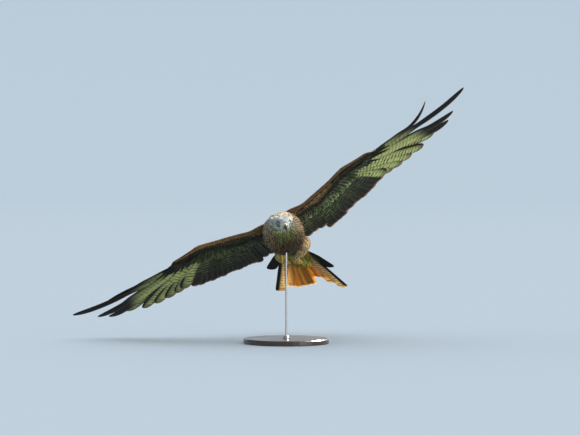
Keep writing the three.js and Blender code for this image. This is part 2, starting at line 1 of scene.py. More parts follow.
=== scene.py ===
"""Looks of a life-size red kite in gliding flight, on a plain display stand.

The bird's own frame is in millimetres: +X to its left wing, +Y to its tail and +Z to its
back, from midway between its shoulders. Meshes are put into the model's frame in metres.
"""

import json
import math

import bmesh
import bpy
import numpy as np
from mathutils import Matrix, Vector
from mathutils.kdtree import KDTree

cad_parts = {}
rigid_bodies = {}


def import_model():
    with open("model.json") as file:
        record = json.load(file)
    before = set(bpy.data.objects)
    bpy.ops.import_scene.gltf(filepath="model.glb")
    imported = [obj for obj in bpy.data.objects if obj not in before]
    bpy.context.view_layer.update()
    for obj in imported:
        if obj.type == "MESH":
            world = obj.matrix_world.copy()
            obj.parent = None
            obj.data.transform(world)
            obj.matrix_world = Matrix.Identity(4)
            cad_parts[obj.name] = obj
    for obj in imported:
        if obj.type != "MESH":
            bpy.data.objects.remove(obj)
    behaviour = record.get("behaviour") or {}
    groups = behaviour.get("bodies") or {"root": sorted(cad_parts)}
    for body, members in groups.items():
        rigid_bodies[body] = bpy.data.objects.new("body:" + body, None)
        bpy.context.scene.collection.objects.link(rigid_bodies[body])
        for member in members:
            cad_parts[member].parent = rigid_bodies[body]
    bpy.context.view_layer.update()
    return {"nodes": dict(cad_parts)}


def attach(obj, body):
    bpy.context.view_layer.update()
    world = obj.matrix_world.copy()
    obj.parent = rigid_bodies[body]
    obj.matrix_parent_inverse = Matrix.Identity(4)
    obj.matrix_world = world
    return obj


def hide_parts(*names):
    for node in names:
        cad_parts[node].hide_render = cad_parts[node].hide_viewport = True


bl_info = {
    "name": "Red kite display model",
    "version": (1, 0, 0),
    "blender": (4, 2, 0),
    "location": "View3D > Sidebar > Red kite",
    "description": "Plumage, bill, eyes, feet, stand and stage of a gliding red kite",
    "category": "Object",
}

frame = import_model()
SEED = 41

# Attitude: turns about Z, then X, then Y in degrees
SHOULDERS = (-27, -9, 420)
BIRD_TURN = (-14.2, -20.3, -32)
HEAD_TURN = (14, 18, -4.3)
TAIL_TURN = (-16.2, -27.4, -3.3)
EYES_MIDDLE = (23, -114, -57)
TAIL_START = (-8, 205, -15)

# Wing bones and where the leading edge and the feather roots lie beside them
SHOULDER_HALF = 48
ARM_LENGTH = 245
HAND_LENGTH = 105
ELBOW_ALONG = 0.43
ELBOW_BEHIND = 54
ARM_EDGE_AHEAD = 4
HAND_EDGE_AHEAD = 16
ROOT_BEHIND = 12
WRIST_CLEAR = 0.04
DIHEDRAL_STATIONS = (0, 245, 420, 620, 900)
PRIMARY_LENGTHS = (250, 272, 290, 318, 350, 394, 441, 442, 476, 298)
SECONDARY_COUNT = 13
SECONDARY_LENGTHS = (253, 216)
TERTIAL_LENGTHS = (204, 196, 185)
# The wing's inner edge, hidden in the flank, in place of a feather
INNER_PLACE = -22.0
INNER_LENGTH = 150
FINGER_START = {7: 335, 8: 300, 9: 235, 10: 170}
FINGER_WIDTH = {7: 30, 8: 27, 9: 27, 10: 16}
FINGER_LOUVRE = 3.2
SHOULDER_SWELL = 18
# The right wing lies in shade, and its flight feathers are drawn this much darker
SHADED_WING = 0.72
# Half widths of the inner and outer vane and the length of the rounded tip
TERTIAL_VANES = (30, 20, 52)
SECONDARY_VANES = (28, 14, 38)
INNER_PRIMARY_VANES = (34, 15)
OUTER_PRIMARY_VANES = (25, 10)
PRIMARY_TIP = 48
FINGER_TIP = 95
TAIL_VANES = (21.5, 16.5, 30)
# Thickness of the long feathers at root and tip
WING_FEATHER_THICK = (2.2, 0.7)
TAIL_FEATHER_THICK = (1.8, 0.7)
WINGS = {
    "left": {
        "side": 1, "arm_forward": 7.5, "hand_back": 12.3, "primary_fan": (62, 16), "fan_power": 1.35,
        "secondary_fan": (64.3, 91.5), "tertial_fan": 91, "dihedral": (10.6, 7.7, 14, 14.9, 24.4),
        "incidence": (4, 3.3), "finger_turn": {6: 0.6, 7: 1.5, 8: 3.2, 9: -1.5, 10: -0.6},
        "finger_lift": {6: 12, 7: 11, 8: 12, 9: 15, 10: 45},
    },
    "right": {
        "side": -1, "arm_forward": 10.6, "hand_back": 11.7, "primary_fan": (60.3, 18.4), "fan_power": 1.23,
        "secondary_fan": (67.3, 96.3), "tertial_fan": 96.5, "dihedral": (19.4, 1.7, 9.8, 14, 24.4),
        "incidence": (0.9, 4.5), "finger_turn": {6: 0, 7: 0, 8: 0.5, 9: -4.5, 10: -3},
        "finger_lift": {6: 12, 7: 12, 8: 10, 9: 10, 10: -6},
    },
}
SHEET_PLACES = (0, 0.5, 1, 1.25, 1.6, 2)
THICK_ARM = (7, 20, 15, 7, 2.6, 1.2)
THICK_WRIST = (6, 17, 11, 4.5, 2, 1.2)
THICK_TIP = (3, 5, 4, 2.6, 1.6, 1.2)
CAMBER = (0, 3, 7, 10, 7, 0)
SLIM_FLATTENS = 0.35

# Tail feathers from the bird's right to its left: angle in degrees and length
TAIL_FEATHERS = (
    (-29, 205), (-17.5, 392), (-12.6, 346), (-8.7, 352), (-5.4, 345), (-2.6, 335),
    (-0.8, 328), (4.6, 271), (7.9, 283), (10.4, 328), (13.6, 371), (22.5, 198),
)
TAIL_BASE_HALF = 29
TAIL_OPEN = 40
FAN_CENTRE = -90
FAN_HALF = 27
FAN_DROOP = 0.018

# Body stations from breast to loins: place along Y, top, bottom and half width
TRUNK_STATIONS = (
    (-45, 18, -86, 56), (-28, 27, -92, 66), (-5, 32, -95, 72), (25, 34, -95, 73), (60, 31, -91, 69),
    (95, 26, -83, 62), (130, 20, -71, 55), (160, 15, -59, 48),
)
RUMP_END = (50, 12, -22)
BODY_BEND = 0.05
# Tail-base stations on the tail's own axes: place, half width, top and bottom
TAIL_BASE_STATIONS = ((66, 50, 9, -16), (92, 47, 6, -10), (125, 42, 4.5, -6))
# Head stations from the bill back: place along the head, half width, top and bottom
HEAD_STATIONS = (
    (-20, 9.5, 9.5, -11), (-17, 13, 13, -14), (-11, 17, 17.5, -18), (-4, 20, 20.5, -21), (3, 23.5, 22, -25),
    (11, 30, 22.5, -29), (20, 35, 21.5, -33), (30, 38.5, 19, -36), (38, 40.5, 17, -38),
)
RING_POWER = 0.86
EYE_RADIUS = 7.6
EYE_PLACE = (15, -1.5, 0)
GAZE = (0.72, -0.69, 0.05)

# Bare parts in the head's frame: place, half width, half height and tilt back in degrees
CERE = (
    (0, -18.5, 1.4, 9.2, 8.0, 0), (0, -20.4, 1.6, 8.7, 7.5, 0), (0, -25, 2, 7.7, 7.3, 4),
    (0, -28.6, 1.9, 6.9, 7.1, 9), (0, -29.9, 1.85, 6.4, 6.7, 10),
)
UPPER_BILL = (
    (0, -29.0, 1.8, 6.1, 6.4, 9), (0, -29.9, 1.8, 6.5, 6.8, 10), (0, -33.5, 0.9, 5.6, 6.6, 24),
    (0, -37.3, -1.8, 4.4, 5.6, 44), (0, -39.6, -6.2, 3.2, 4.0, 66), (0, -40.4, -11, 2.0, 2.3, 84),
    (0, -40.2, -16.5, 0.4, 0.4, 96),
)
LOWER_BILL = (
    (0, -19, -9.2, 6.9, 2.2, 0), (0, -20.4, -9.2, 7, 2.2, 0), (0, -27, -9, 5.4, 2, 0),
    (0, -32, -8.6, 3.6, 1.5, -4), (0, -34.2, -8.2, 1.2, 0.6, -6),
)
# The corner of the left side of the mouth: place and radius
GAPE = (
    (8.0, -21.0, -5.6, 1.3), (9.6, -18.5, -6.6, 1.4), (12.2, -15.0, -7.6, 1.2), (14.9, -10.5, -8.4, 0.8),
    (17.0, -6.5, -8.8, 0.3),
)
NOSTRIL_SIZE = (0.8, 1.7, 0.95)
NOSTRIL_PLACE = (6.75, -26.2, 4.6)
CORNEA_BULGE = 0.07
CORNEA_REACH = 44
# The lids' rim: middle of its section from the line of gaze and ahead of the eye, and half sizes
LID_MIDDLE = (6.75, 3.3)
LID_HALF = (1.15, 1.0)
BROW_FLATTENS = 0.72

# Thigh stations from the flank back: place on the bird's own axes and radius, then the last two radii
THIGH_STATIONS = (
    (30, 54, -42, 4), (37, 74, -47, 12), (43, 94, -52, 18.5), (47, 122, -58, 22.5), (46, 150, -58, 20),
)
THIGH_END = (15, 8)
THIGH_COLUMNS = 48

# How finely the surfaces that carry the feathers are sampled
BODY_COLUMNS = 96
BODY_STEP = 2.5
WING_PARTS = 8
WING_ROWS = 81
ROOT_ROW = 40

# Where the floor starts and turns up and the radius of its turn, and the camera: metres and degrees
FLOOR_FRONT = -20.0
FLOOR_TURN = 17.0
FLOOR_RADIUS = 4.0
CAMERA_AIM = (0.01322, -0.00823, 0.44205)
CAMERA_DISTANCE = 11.0
CAMERA_TILT = 2
CAMERA_LENS = 195.07


# Turns and curves


def turned(yaw, pitch, roll):
    """A turn about Z, then X, then Y, in degrees."""
    turns = zip((yaw, pitch, roll), "ZXY")
    first, second, third = (Matrix.Rotation(math.radians(angle), 3, axis) for angle, axis in turns)
    return np.array(first @ second @ third)


def between(start, end, share):
    """The turn a share of the way from one turn to another."""
    middle = Matrix(start).to_quaternion().slerp(Matrix(end).to_quaternion(), share)
    return np.array(middle.to_matrix())


BIRD = turned(*BIRD_TURN)
HEAD = BIRD.T @ turned(*HEAD_TURN)
TAIL = BIRD.T @ turned(*TAIL_TURN)
BODY = turned(math.degrees(math.atan(BODY_BEND)), 0, 0)


def to_model(points):
    """Points of the bird's frame in millimetres, as metres in the model's frame."""
    return (np.asarray(points, float) @ BIRD.T + SHOULDERS) / 1000


def on_head(points):
    return np.asarray(points, float) @ HEAD.T + EYES_MIDDLE


def on_tail(points):
    return np.asarray(points, float) @ TAIL.T + TAIL_START


def unit(vectors):
    return vectors / np.maximum(np.linalg.norm(vectors, axis=-1, keepdims=True), 1e-9)


def mix(start, end, share):
    return start + (end - start) * share


def smooth_step(low, high, value):
    share = np.clip((value - low) / (high - low), 0, 1)
    return share * share * (3 - 2 * share)


def run_along(points):
    """How far along a line each of its points lies."""
    return np.concatenate([[0], np.cumsum(np.linalg.norm(np.diff(points, axis=0), axis=1))])


def smooth_through(stations, values, places):
    """Values at some places on a smooth curve through stations."""
    stations, values, places = (np.asarray(item, float) for item in (stations, values, places))
    slopes = np.gradient(values, stations, axis=0)
    index = np.clip(np.searchsorted(stations, places, side="right") - 1, 0, len(stations) - 2)
    width = stations[index + 1] - stations[index]
    share = (places - stations[index]) / width
    tail_axes = (1,) * (values.ndim - 1)
    share, width = share.reshape(-1, *tail_axes), width.reshape(-1, *tail_axes)
    rise, square = share ** 3, share ** 2
    start = (2 * rise - 3 * square + 1) * values[index] + (rise - 2 * square + share) * slopes[index] * width
    end = (3 * square - 2 * rise) * values[index + 1] + (rise - square) * slopes[index + 1] * width
    return start + end


# Surfaces that carry feathers


class Sheet:
    """A surface sampled on rows that follow the lie of the feathers and columns across it."""

    def __init__(self, points, wraps=False, outward=1):
        self.points, self.wraps = points, wraps
        self.along = np.gradient(points, axis=0)
        self.across = np.gradient(points, axis=1)
        if wraps:
            self.across = (np.roll(points, -1, 1) - np.roll(points, 1, 1)) / 2
        self.normal = unit(np.cross(self.along, self.across)) * outward

    def sample(self, field, row, column):
        rows, columns = field.shape[:2]
        row = np.clip(row, 0, rows - 1.001)
        column = column % columns if self.wraps else np.clip(column, 0, columns - 1.001)
        i, j = row.astype(int), column.astype(int)
        j = np.minimum(j, columns - 1)
        after = (j + 1) % columns
        down, over = (row - i)[:, None], (column - j)[:, None]
        first = field[i, j] * (1 - over) + field[i, after] * over
        second = field[i + 1, j] * (1 - over) + field[i + 1, after] * over
        return first * (1 - down) + second * down

    def place(self, row, column):
        return self.sample(self.points, row, column)


def walk(sheet, row, column, lengths, shares, swerve=0.0, aim=None):
    """Lines that start at places on a sheet and run along it: points, normals and sides."""
    row, column = np.array(row, float), np.array(column, float)
    lengths = np.broadcast_to(lengths, row.shape)
    swerve = np.broadcast_to(swerve, row.shape)[:, None]
    points, normals, sides = [], [], []
    here = sheet.place(row, column)
    last = 0.0
    for index, share in enumerate(shares):
        step = ((share - last) * lengths)[:, None]
        last = share
        along, across = sheet.sample(sheet.along, row, column), sheet.sample(sheet.across, row, column)
        normal = unit(sheet.sample(sheet.normal, row, column))
        if aim is None:
            ahead = unit(along - normal * np.sum(along * normal, 1, keepdims=True))
            side = np.cross(normal, ahead)
            way = ahead * np.cos(swerve) + side * np.sin(swerve)
        else:
            way = unit(aim - normal * np.sum(aim * normal, 1, keepdims=True))
        if index:
            aa, ab, bb = (np.sum(x * y, 1) for x, y in ((along, along), (along, across), (across, across)))
            wa, wb = np.sum(step * way * along, 1), np.sum(step * way * across, 1)
            area = np.maximum(aa * bb - ab * ab, 1e-6)
            new_row = row + (wa * bb - wb * ab) / area
            new_column = column + (wb * aa - wa * ab) / area
            past = (new_row < 0) | (new_row > sheet.points.shape[0] - 1.001)
            if not sheet.wraps:
                past |= (new_column < 0) | (new_column > sheet.points.shape[1] - 1.001)
            landed = sheet.place(new_row, new_column)
            here = np.where(past[:, None], here + step * way, landed)
            row = np.where(past, row, new_row)
            column = np.where(past, column, new_column)
        points.append(here)
        normals.append(normal)
        sides.append(np.cross(normal, way))
    return np.stack(points, 1), np.stack(normals, 1), np.stack(sides, 1)


def egg_ring(centre, half_width, top, bottom, orientation):
    """A rounded ring about a centre, from the bird's left over its back."""
    angle = np.linspace(0, 2 * np.pi, BODY_COLUMNS, endpoint=False)
    width, height = (np.sign(item) * np.abs(item) ** RING_POWER for item in (np.cos(angle), np.sin(angle)))
    local = np.stack([half_width * width, 0 * angle, np.where(height > 0, top, -bottom) * height], 1)
    return local @ orientation.T + centre


def body_stations():
    """Rings of head, neck, trunk, rump and tail base."""
    rings = [egg_ring(on_head((0, place, 0)), *sizes, HEAD) for place, *sizes in HEAD_STATIONS]
    place, half_width, top, bottom = HEAD_STATIONS[-1]
    start = on_head((0, place, 0))
    y, trunk_top, trunk_bottom, trunk_half = TRUNK_STATIONS[0]
    end = np.array([-BODY_BEND * y, y, (trunk_top + trunk_bottom) / 2])
    half = (trunk_top - trunk_bottom) / 2
    for share in (0.35, 0.7):
        centre = mix(start, end, share) + (0, 0, 5 * math.sin(math.pi * share))
        rings.append(egg_ring(centre, mix(half_width, trunk_half, share), mix(top, half, share),
                              mix(bottom, -half, share), between(HEAD, BODY, share)))
    for y, top, bottom, half_width in TRUNK_STATIONS:
        half = (top - bottom) / 2
        rings.append(egg_ring((-BODY_BEND * y, y, (top + bottom) / 2), half_width, half, -half, BODY))
    start = np.array([-BODY_BEND * y, y, (top + bottom) / 2])
    end = on_tail((0, TAIL_OPEN, (RUMP_END[1] + RUMP_END[2]) / 2))
    half_end = (RUMP_END[1] - RUMP_END[2]) / 2
    for share in (0.3, 0.65, 1):
        high = mix(half, half_end, share)
        rings.append(egg_ring(mix(start, end, share), mix(half_width, RUMP_END[0], share), high, -high,
                              between(BODY, TAIL, share)))
    for place, half_width, top, bottom in TAIL_BASE_STATIONS:
        rings.append(egg_ring(on_tail((0, place, 0)), half_width, top, bottom, TAIL))
    return np.stack(rings)


def body_sheet(sink=0.0):
    """The body's surface and each row's distance from the bill, in millimetres."""
    rings = body_stations()
    stations = run_along(rings.mean(1))
    places = np.linspace(0, stations[-1], int(stations[-1] / BODY_STEP) + 1)
    sheet = Sheet(smooth_through(stations, rings, places), wraps=True)
    if np.ndim(sink) or sink:
        sheet.points = sheet.points - sheet.normal * np.reshape(sink, (-1, 1, 1))
    sheet.places = places
    return sheet


# Wings


def flat(angle, length=1.0):
    angle = np.radians(angle)
    return np.stack([np.cos(angle) * length, np.sin(angle) * length], -1)


def flight_feather(part, number, root, angle, length, lead, reach=None, lift=0, slim=0):
    """A feather of the flat plan; reach is where the surface that it shares with its neighbours ends."""
    return {"part": part, "number": number, "root": root, "angle": angle, "length": length, "lead": lead,
            "reach": length if reach is None else reach, "lift": lift, "slim": slim}


def is_finger(feather):
    return feather["part"] == "primary" and feather["number"] in FINGER_START


def wing_plan(wing):
    """The flight feathers in the wing's flat plan, from the innermost tertial to the outermost primary."""
    wrist = flat(-wing["arm_forward"], ARM_LENGTH)
    tip = wrist + flat(wing["hand_back"], HAND_LENGTH)
    elbow = wrist * ELBOW_ALONG + flat(90 - wing["arm_forward"], ELBOW_BEHIND)
    shoulder, down = np.array([0, 20]), np.array([0, ROOT_BEHIND])
    fan = wing["secondary_fan"]
    feathers = [flight_feather("inner", 0, np.array([INNER_PLACE, 20]), wing["tertial_fan"], INNER_LENGTH,
                               np.array([INNER_PLACE, -ARM_EDGE_AHEAD]))]
    for number in (3, 2, 1):
        share = number / 4
        feathers.append(flight_feather("tertial", number, mix(elbow, shoulder, share),
                                       mix(fan[1], wing["tertial_fan"], share), TERTIAL_LENGTHS[number - 1],
                                       wrist * ELBOW_ALONG * (1 - share) - (0, ARM_EDGE_AHEAD)))
    for number in range(SECONDARY_COUNT, 0, -1):
        share = (number - 1) / (SECONDARY_COUNT - 1)
        place = mix(WRIST_CLEAR, 1, share)
        ahead = mix(HAND_EDGE_AHEAD, ARM_EDGE_AHEAD, min(2 * place, 1))
        feathers.append(flight_feather("secondary", number, mix(wrist, elbow, place) + down,
                                       mix(*fan, share), mix(*SECONDARY_LENGTHS, share),
                                       wrist * mix(1, ELBOW_ALONG, place) - (0, ahead),
                                       slim=1 - (number - 1) / SECONDARY_COUNT))
    for number in range(1, 11):
        share = (number - 1) / 9
        place = mix(2 * WRIST_CLEAR, 1, share)
        length = PRIMARY_LENGTHS[number - 1]
        angle = mix(*wing["primary_fan"], share ** wing["fan_power"]) + wing["finger_turn"].get(number, 0)
        feathers.append(flight_feather("primary", number, mix(wrist, tip, place) + down, angle, length,
                                       mix(wrist, tip, place) - (0, HAND_EDGE_AHEAD),
                                       FINGER_START.get(number, length), wing["finger_lift"].get(number, 0),
                                       1 + share))
    return feathers


def on_wing(wing, plan, height):
    """Points of the flat plan, with heights above it, carried onto the bent wing."""
    x, y = plan[..., 0], plan[..., 1]
    grid = np.arange(-80, 960.0)
    bend = np.radians(np.interp(grid + 0.5, DIHEDRAL_STATIONS, wing["dihedral"]))
    start = int(-grid[0])
    out, up = (np.concatenate([[0], np.cumsum(item)])[:-1] for item in (np.cos(bend), np.sin(bend)))
    out, up = out - out[start], up - up[start]
    angle = np.radians(np.interp(x, DIHEDRAL_STATIONS, wing["dihedral"]))
    pitch = np.radians(np.interp(x, (0, ARM_LENGTH), wing["incidence"]))
    rise = height - y * np.sin(pitch)
    return np.stack([wing["side"] * (SHOULDER_HALF + np.interp(x, grid, out) - np.sin(angle) * rise),
                     y * np.cos(pitch), np.interp(x, grid, up) + np.cos(angle) * rise], -1)


def wing_aim(wing, plan, angle):
    """The direction of a plan angle on the bent wing."""
    return unit(on_wing(wing, plan + flat(angle, 4.0), 0) - on_wing(wing, plan, 0))


class WingSheets:
    """The upper and lower surfaces of a wing, by rows from the leading edge and columns outwards."""

    def __init__(self, wing, sink=0.0):
        self.wing, self.feathers = wing, wing_plan(wing)
        count = len(self.feathers)
        self.column = np.linspace(0, count - 1, (count - 1) * WING_PARTS + 1)
        known = np.arange(count)

        def spread(key):
            values = np.array([item[key] for item in self.feathers], float)
            if values.ndim == 1:
                return np.interp(self.column, known, values)
            return np.stack([np.interp(self.column, known, values[:, axis]) for axis in (0, 1)], -1)

        self.lead, self.root, self.angle = spread("lead"), spread("root"), spread("angle")
        self.slim, self.reach, self.length = spread("slim"), spread("reach"), spread("length")
        lifts = [0 if is_finger(item) else item["lift"] for item in self.feathers]
        self.lift = np.interp(self.column, known, lifts)
        end = self.root + flat(self.angle, 1) * self.reach[:, None]
        place = np.linspace(0, 2, WING_ROWS)[:, None, None]
        plan = np.where(place <= 1, mix(self.lead, self.root, place), mix(self.root, end, place - 1))
        rows = place[:, 0, 0]
        arm, wrist, tip, camber = (np.interp(rows, SHEET_PLACES, item)[:, None]
                                   for item in (THICK_ARM, THICK_WRIST, THICK_TIP, CAMBER))
        slim = self.slim[None]
        thick = np.where(slim < 1, mix(arm, wrist, slim), mix(wrist, tip, slim - 1))
        self.middle = camber * (1 - SLIM_FLATTENS * slim) + self.lift * np.maximum(rows[:, None] - 1, 0) ** 2
        self.plan = plan
        half = np.maximum(thick / 2 - sink, 0.3)
        side = wing["side"]
        self.upper = Sheet(on_wing(wing, plan, self.middle + half), outward=side)
        self.lower = Sheet(on_wing(wing, plan, self.middle - half), outward=-side)
        self.chord = np.linalg.norm(self.root - self.lead, axis=1)

    def height_at(self, feather, distance):
        """Height of the wing's middle surface along one flight feather."""
        share = np.clip(distance / feather["reach"], 0, 1)
        height = np.interp(1 + share, SHEET_PLACES, CAMBER) * (1 - SLIM_FLATTENS * feather["slim"])
        if is_finger(feather):
            start = FINGER_START[feather["number"]]
            past = np.clip((distance - start) / (feather["length"] - start), 0, 1)
            return height + feather["lift"] * past ** 2
        return height + feather["lift"] * share ** 2


# Colours


def linear(code):
    """An sRGB hex code as linear red, green and blue."""
    channels = np.array([int(code[start:start + 2], 16) for start in (1, 3, 5)]) / 255
    return np.where(channels <= 0.04045, channels / 12.92, ((channels + 0.055) / 1.055) ** 2.4)


def linear_set(*codes):
    return [linear(code) for code in codes]


def picked(setting):
    """A colour property of the panel, as linear red, green and blue."""
    return np.array(setting[:3])


# Feather meshes


class Plume:
    """The pattern of one closed, thin feather: a squeezed ball, with rings along it."""

    def __init__(self, around, rings):
        ball = bmesh.new()
        bmesh.ops.create_uvsphere(ball, u_segments=around, v_segments=rings, radius=1)
        ball.verts.index_update()
        place = np.array([vertex.co for vertex in ball.verts])
        self.ring = np.rint(np.arccos(np.clip(-place[:, 2], -1, 1)) / np.pi * rings).astype(int)
        reach = np.hypot(place[:, 0], place[:, 1])
        pole = reach < 1e-4
        self.across = np.where(pole, 0, place[:, 0] / np.where(pole, 1, reach))
        self.rise = np.where(pole, 0, place[:, 1] / np.where(pole, 1, reach))
        self.sizes = np.array([len(face.verts) for face in ball.faces])
        self.corners = np.array([vertex.index for face in ball.faces for vertex in face.verts])
        self.count = len(place)
        ball.free()
        # The rings' places from root to tip, closer together towards the tip, and then each vertex's place
        self.shares = 1 - (1 - np.linspace(0, 1, rings + 1)) ** 1.25
        self.share = self.shares[self.ring]


HEAD_PLUME = Plume(4, 6)
BODY_PLUME = Plume(8, 8)
COVERT_PLUME = Plume(8, 10)
LONG_PLUME = Plume(16, 30)


def outline(share, point=0.5):
    """Half width of a feather along it: narrow root, full vane, rounded or pointed tip."""
    root = smooth_step(-0.02, 0.3, share)
    tip = np.clip(1 - share, 0, 1) ** point
    full = 0.82 + 0.18 * np.sin(np.pi * np.clip(share, 0, 1))
    return root * np.minimum(tip * 1.35, 1) * full


class Flock:
    """Gathers feathers of one piece and writes them as a single mesh."""

    def __init__(self):
        self.points, self.corners, self.sizes = [], [], []
        self.plume, self.vane, self.bake, self.bars = [], [], [], []
        self.total = 0

    def add(self, pattern, lines, half_width, thickness, lift, colours, bake, bars=None, curl=0.0, shift=None,
            phase=0.0):
        """Adds feathers of one pattern.

        lines holds the points, normals and sides of each feather at each ring. half_width, thickness and
        lift are per feather and ring, colours gives each vertex its colour and bake its place on the unwrap.
        phase moves a feather's cross bars along it, in metres.
        """
        centre, normal, side = (item[:, pattern.ring] for item in lines)
        across = pattern.across[None, :, None]
        rise = pattern.rise[None, :, None]
        if np.ndim(half_width) == 3:
            inner, outer = (half_width[:, pattern.ring, vane, None] for vane in (0, 1))
            span = np.where(across > 0, inner, outer)
        else:
            span = half_width[:, pattern.ring, None]
        thick = thickness[:, pattern.ring, None]
        height = lift[:, pattern.ring, None] - curl * span * across ** 2
        if shift is not None:
            height = height + shift[:, pattern.ring, None] * across * span
        width = across * span
        points = centre + side * width + normal * (height + rise * thick / 2)
        count = len(points)
        self.points.append(points.reshape(-1, 3))
        offset = self.total + np.arange(count)[:, None] * pattern.count
        self.corners.append((offset + pattern.corners[None]).ravel())
        self.sizes.append(np.tile(pattern.sizes, count))
        self.total += count * pattern.count
        colour = np.broadcast_to(colours, (count, pattern.count, 3)).reshape(-1, 3)
        self.plume.append(colour)
        run = np.concatenate([np.zeros((count, 1)),
                              np.cumsum(np.linalg.norm(np.diff(lines[0], axis=1), axis=2), 1)], 1)
        vane = np.stack([width[..., 0], run[:, pattern.ring]], -1) / 1000 + (0, phase)
        self.vane.append(vane.reshape(-1, 2))
        self.bake.append(np.broadcast_to(bake, (count, pattern.count, 2)).reshape(-1, 2))
        bars = np.zeros((count, pattern.count, 4)) if bars is None else bars
        self.bars.append(bars.reshape(-1, 4))

    def piece(self, name, material, slot, *nodes):
        """Makes the object, which rides on the bird and stands for the given nodes."""
        points, corners = np.concatenate(self.points), np.concatenate(self.corners)
        sizes = np.concatenate(self.sizes)
        mesh = bpy.data.meshes.new(name)
        mesh.vertices.add(len(points))
        mesh.vertices.foreach_set("co", to_model(points).astype(np.float32).ravel())
        mesh.loops.add(len(corners))
        mesh.loops.foreach_set("vertex_index", corners.astype(np.int32))
        mesh.polygons.add(len(sizes))
        starts = np.concatenate([[0], np.cumsum(sizes)[:-1]])
        mesh.polygons.foreach_set("loop_start", starts.astype(np.int32))
        mesh.update(calc_edges=True)
        mesh.polygons.foreach_set("use_smooth", np.ones(len(sizes), bool))
        for layer, values in (("vane", self.vane), ("OFBake", self.bake)):
            flat_map = mesh.uv_layers.new(name=layer)
            flat_map.data.foreach_set("uv", np.concatenate(values)[corners].astype(np.float32).ravel())
        colour = np.concatenate(self.plume)
        colour = np.concatenate([np.clip(colour, 0, 1), np.ones((len(colour), 1))], 1)
        for layer, values in (("plume", colour), ("bars", np.concatenate(self.bars))):
            attribute = mesh.attributes.new(layer, "FLOAT_COLOR", "POINT")
            attribute.data.foreach_set("color", values.astype(np.float32).ravel())
        obj = bpy.data.objects.new(name, mesh)
        finish_piece(obj, material, slot, *nodes)
        return obj


def finish_piece(obj, material, slot, *nodes):
    """Links a piece, gives it its material and fixes it to the model."""
    if obj.name not in bpy.context.scene.objects:
        bpy.context.scene.collection.objects.link(obj)
    obj.data.materials.clear()
    obj.data.materials.append(material)
    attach(obj, "root")
    if nodes:
        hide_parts(*nodes)


def patches(pattern, where, size=0.003):
    """Each tuft's patch on the unwrap, about its root's place."""
    offset = np.stack([pattern.across * 0.5, pattern.share - 0.5], -1) * size
    return where[:, None] + offset[None]


def inset(place):
    """A place from 0 to 1, kept off the edges of the unwrap."""
    return 0.01 + 0.98 * place


def unwrap(first, second):
    """Places on a sheet, stretched to fill the unit square of an unwrap."""
    places = np.stack([first, second], -1).astype(float)
    low, high = places.min(0), places.max(0)
    return 0.01 + 0.98 * (places - low) / np.maximum(high - low, 1e-6)


def bar_values(colour, strength):
    """The colour of cross bars, with how strongly they show as a fourth value."""
    return np.concatenate([np.broadcast_to(colour, (*strength.shape, 3)), strength[..., None]], -1)


def streaked(pattern, edge, centre, root, streak=0.5, down=0.35, fringe=0.0, fringe_from=0.84):
    """Vertex colours of feathers with a darker shaft streak, a pale fringe and a dull root."""
    share = pattern.share[None, :, None]
    across = np.abs(pattern.across)[None, :, None]
    middle = 1 - smooth_step(streak * 0.4, streak * 1.6, across)
    middle = middle * (1 - fringe * smooth_step(fringe_from, 1.0, share))
    colour = mix(edge[:, None], centre[:, None], middle)
    return mix(colour, root[:, None], (1 - smooth_step(0.1, 0.6, share)) * down)


# Materials


def add_node(tree, kind, links=(), **settings):
    """Adds a node, sets its properties and inputs, and links it."""
    node = tree.nodes.new(kind)
    for key, value in settings.items():
        if key.startswith("in_"):
            slot = key[3:]
            node.inputs[int(slot) if slot.isdigit() else slot.replace("_", " ")].default_value = value
        else:
            setattr(node, key, value)
    for source, target in links:
        tree.links.new(source, node.inputs[target])
    return node


def new_material(name):
    """An empty node material with its shader and output."""
    material = bpy.data.materials.new(name)
    material.use_nodes = True
    tree = material.node_tree
    tree.nodes.clear()
    shader = add_node(tree, "ShaderNodeBsdfPrincipled")
    add_node(tree, "ShaderNodeOutputMaterial", [(shader.outputs["BSDF"], "Surface")])
    return material, tree, shader


def colour_socket(code):
    return (*linear(code), 1)


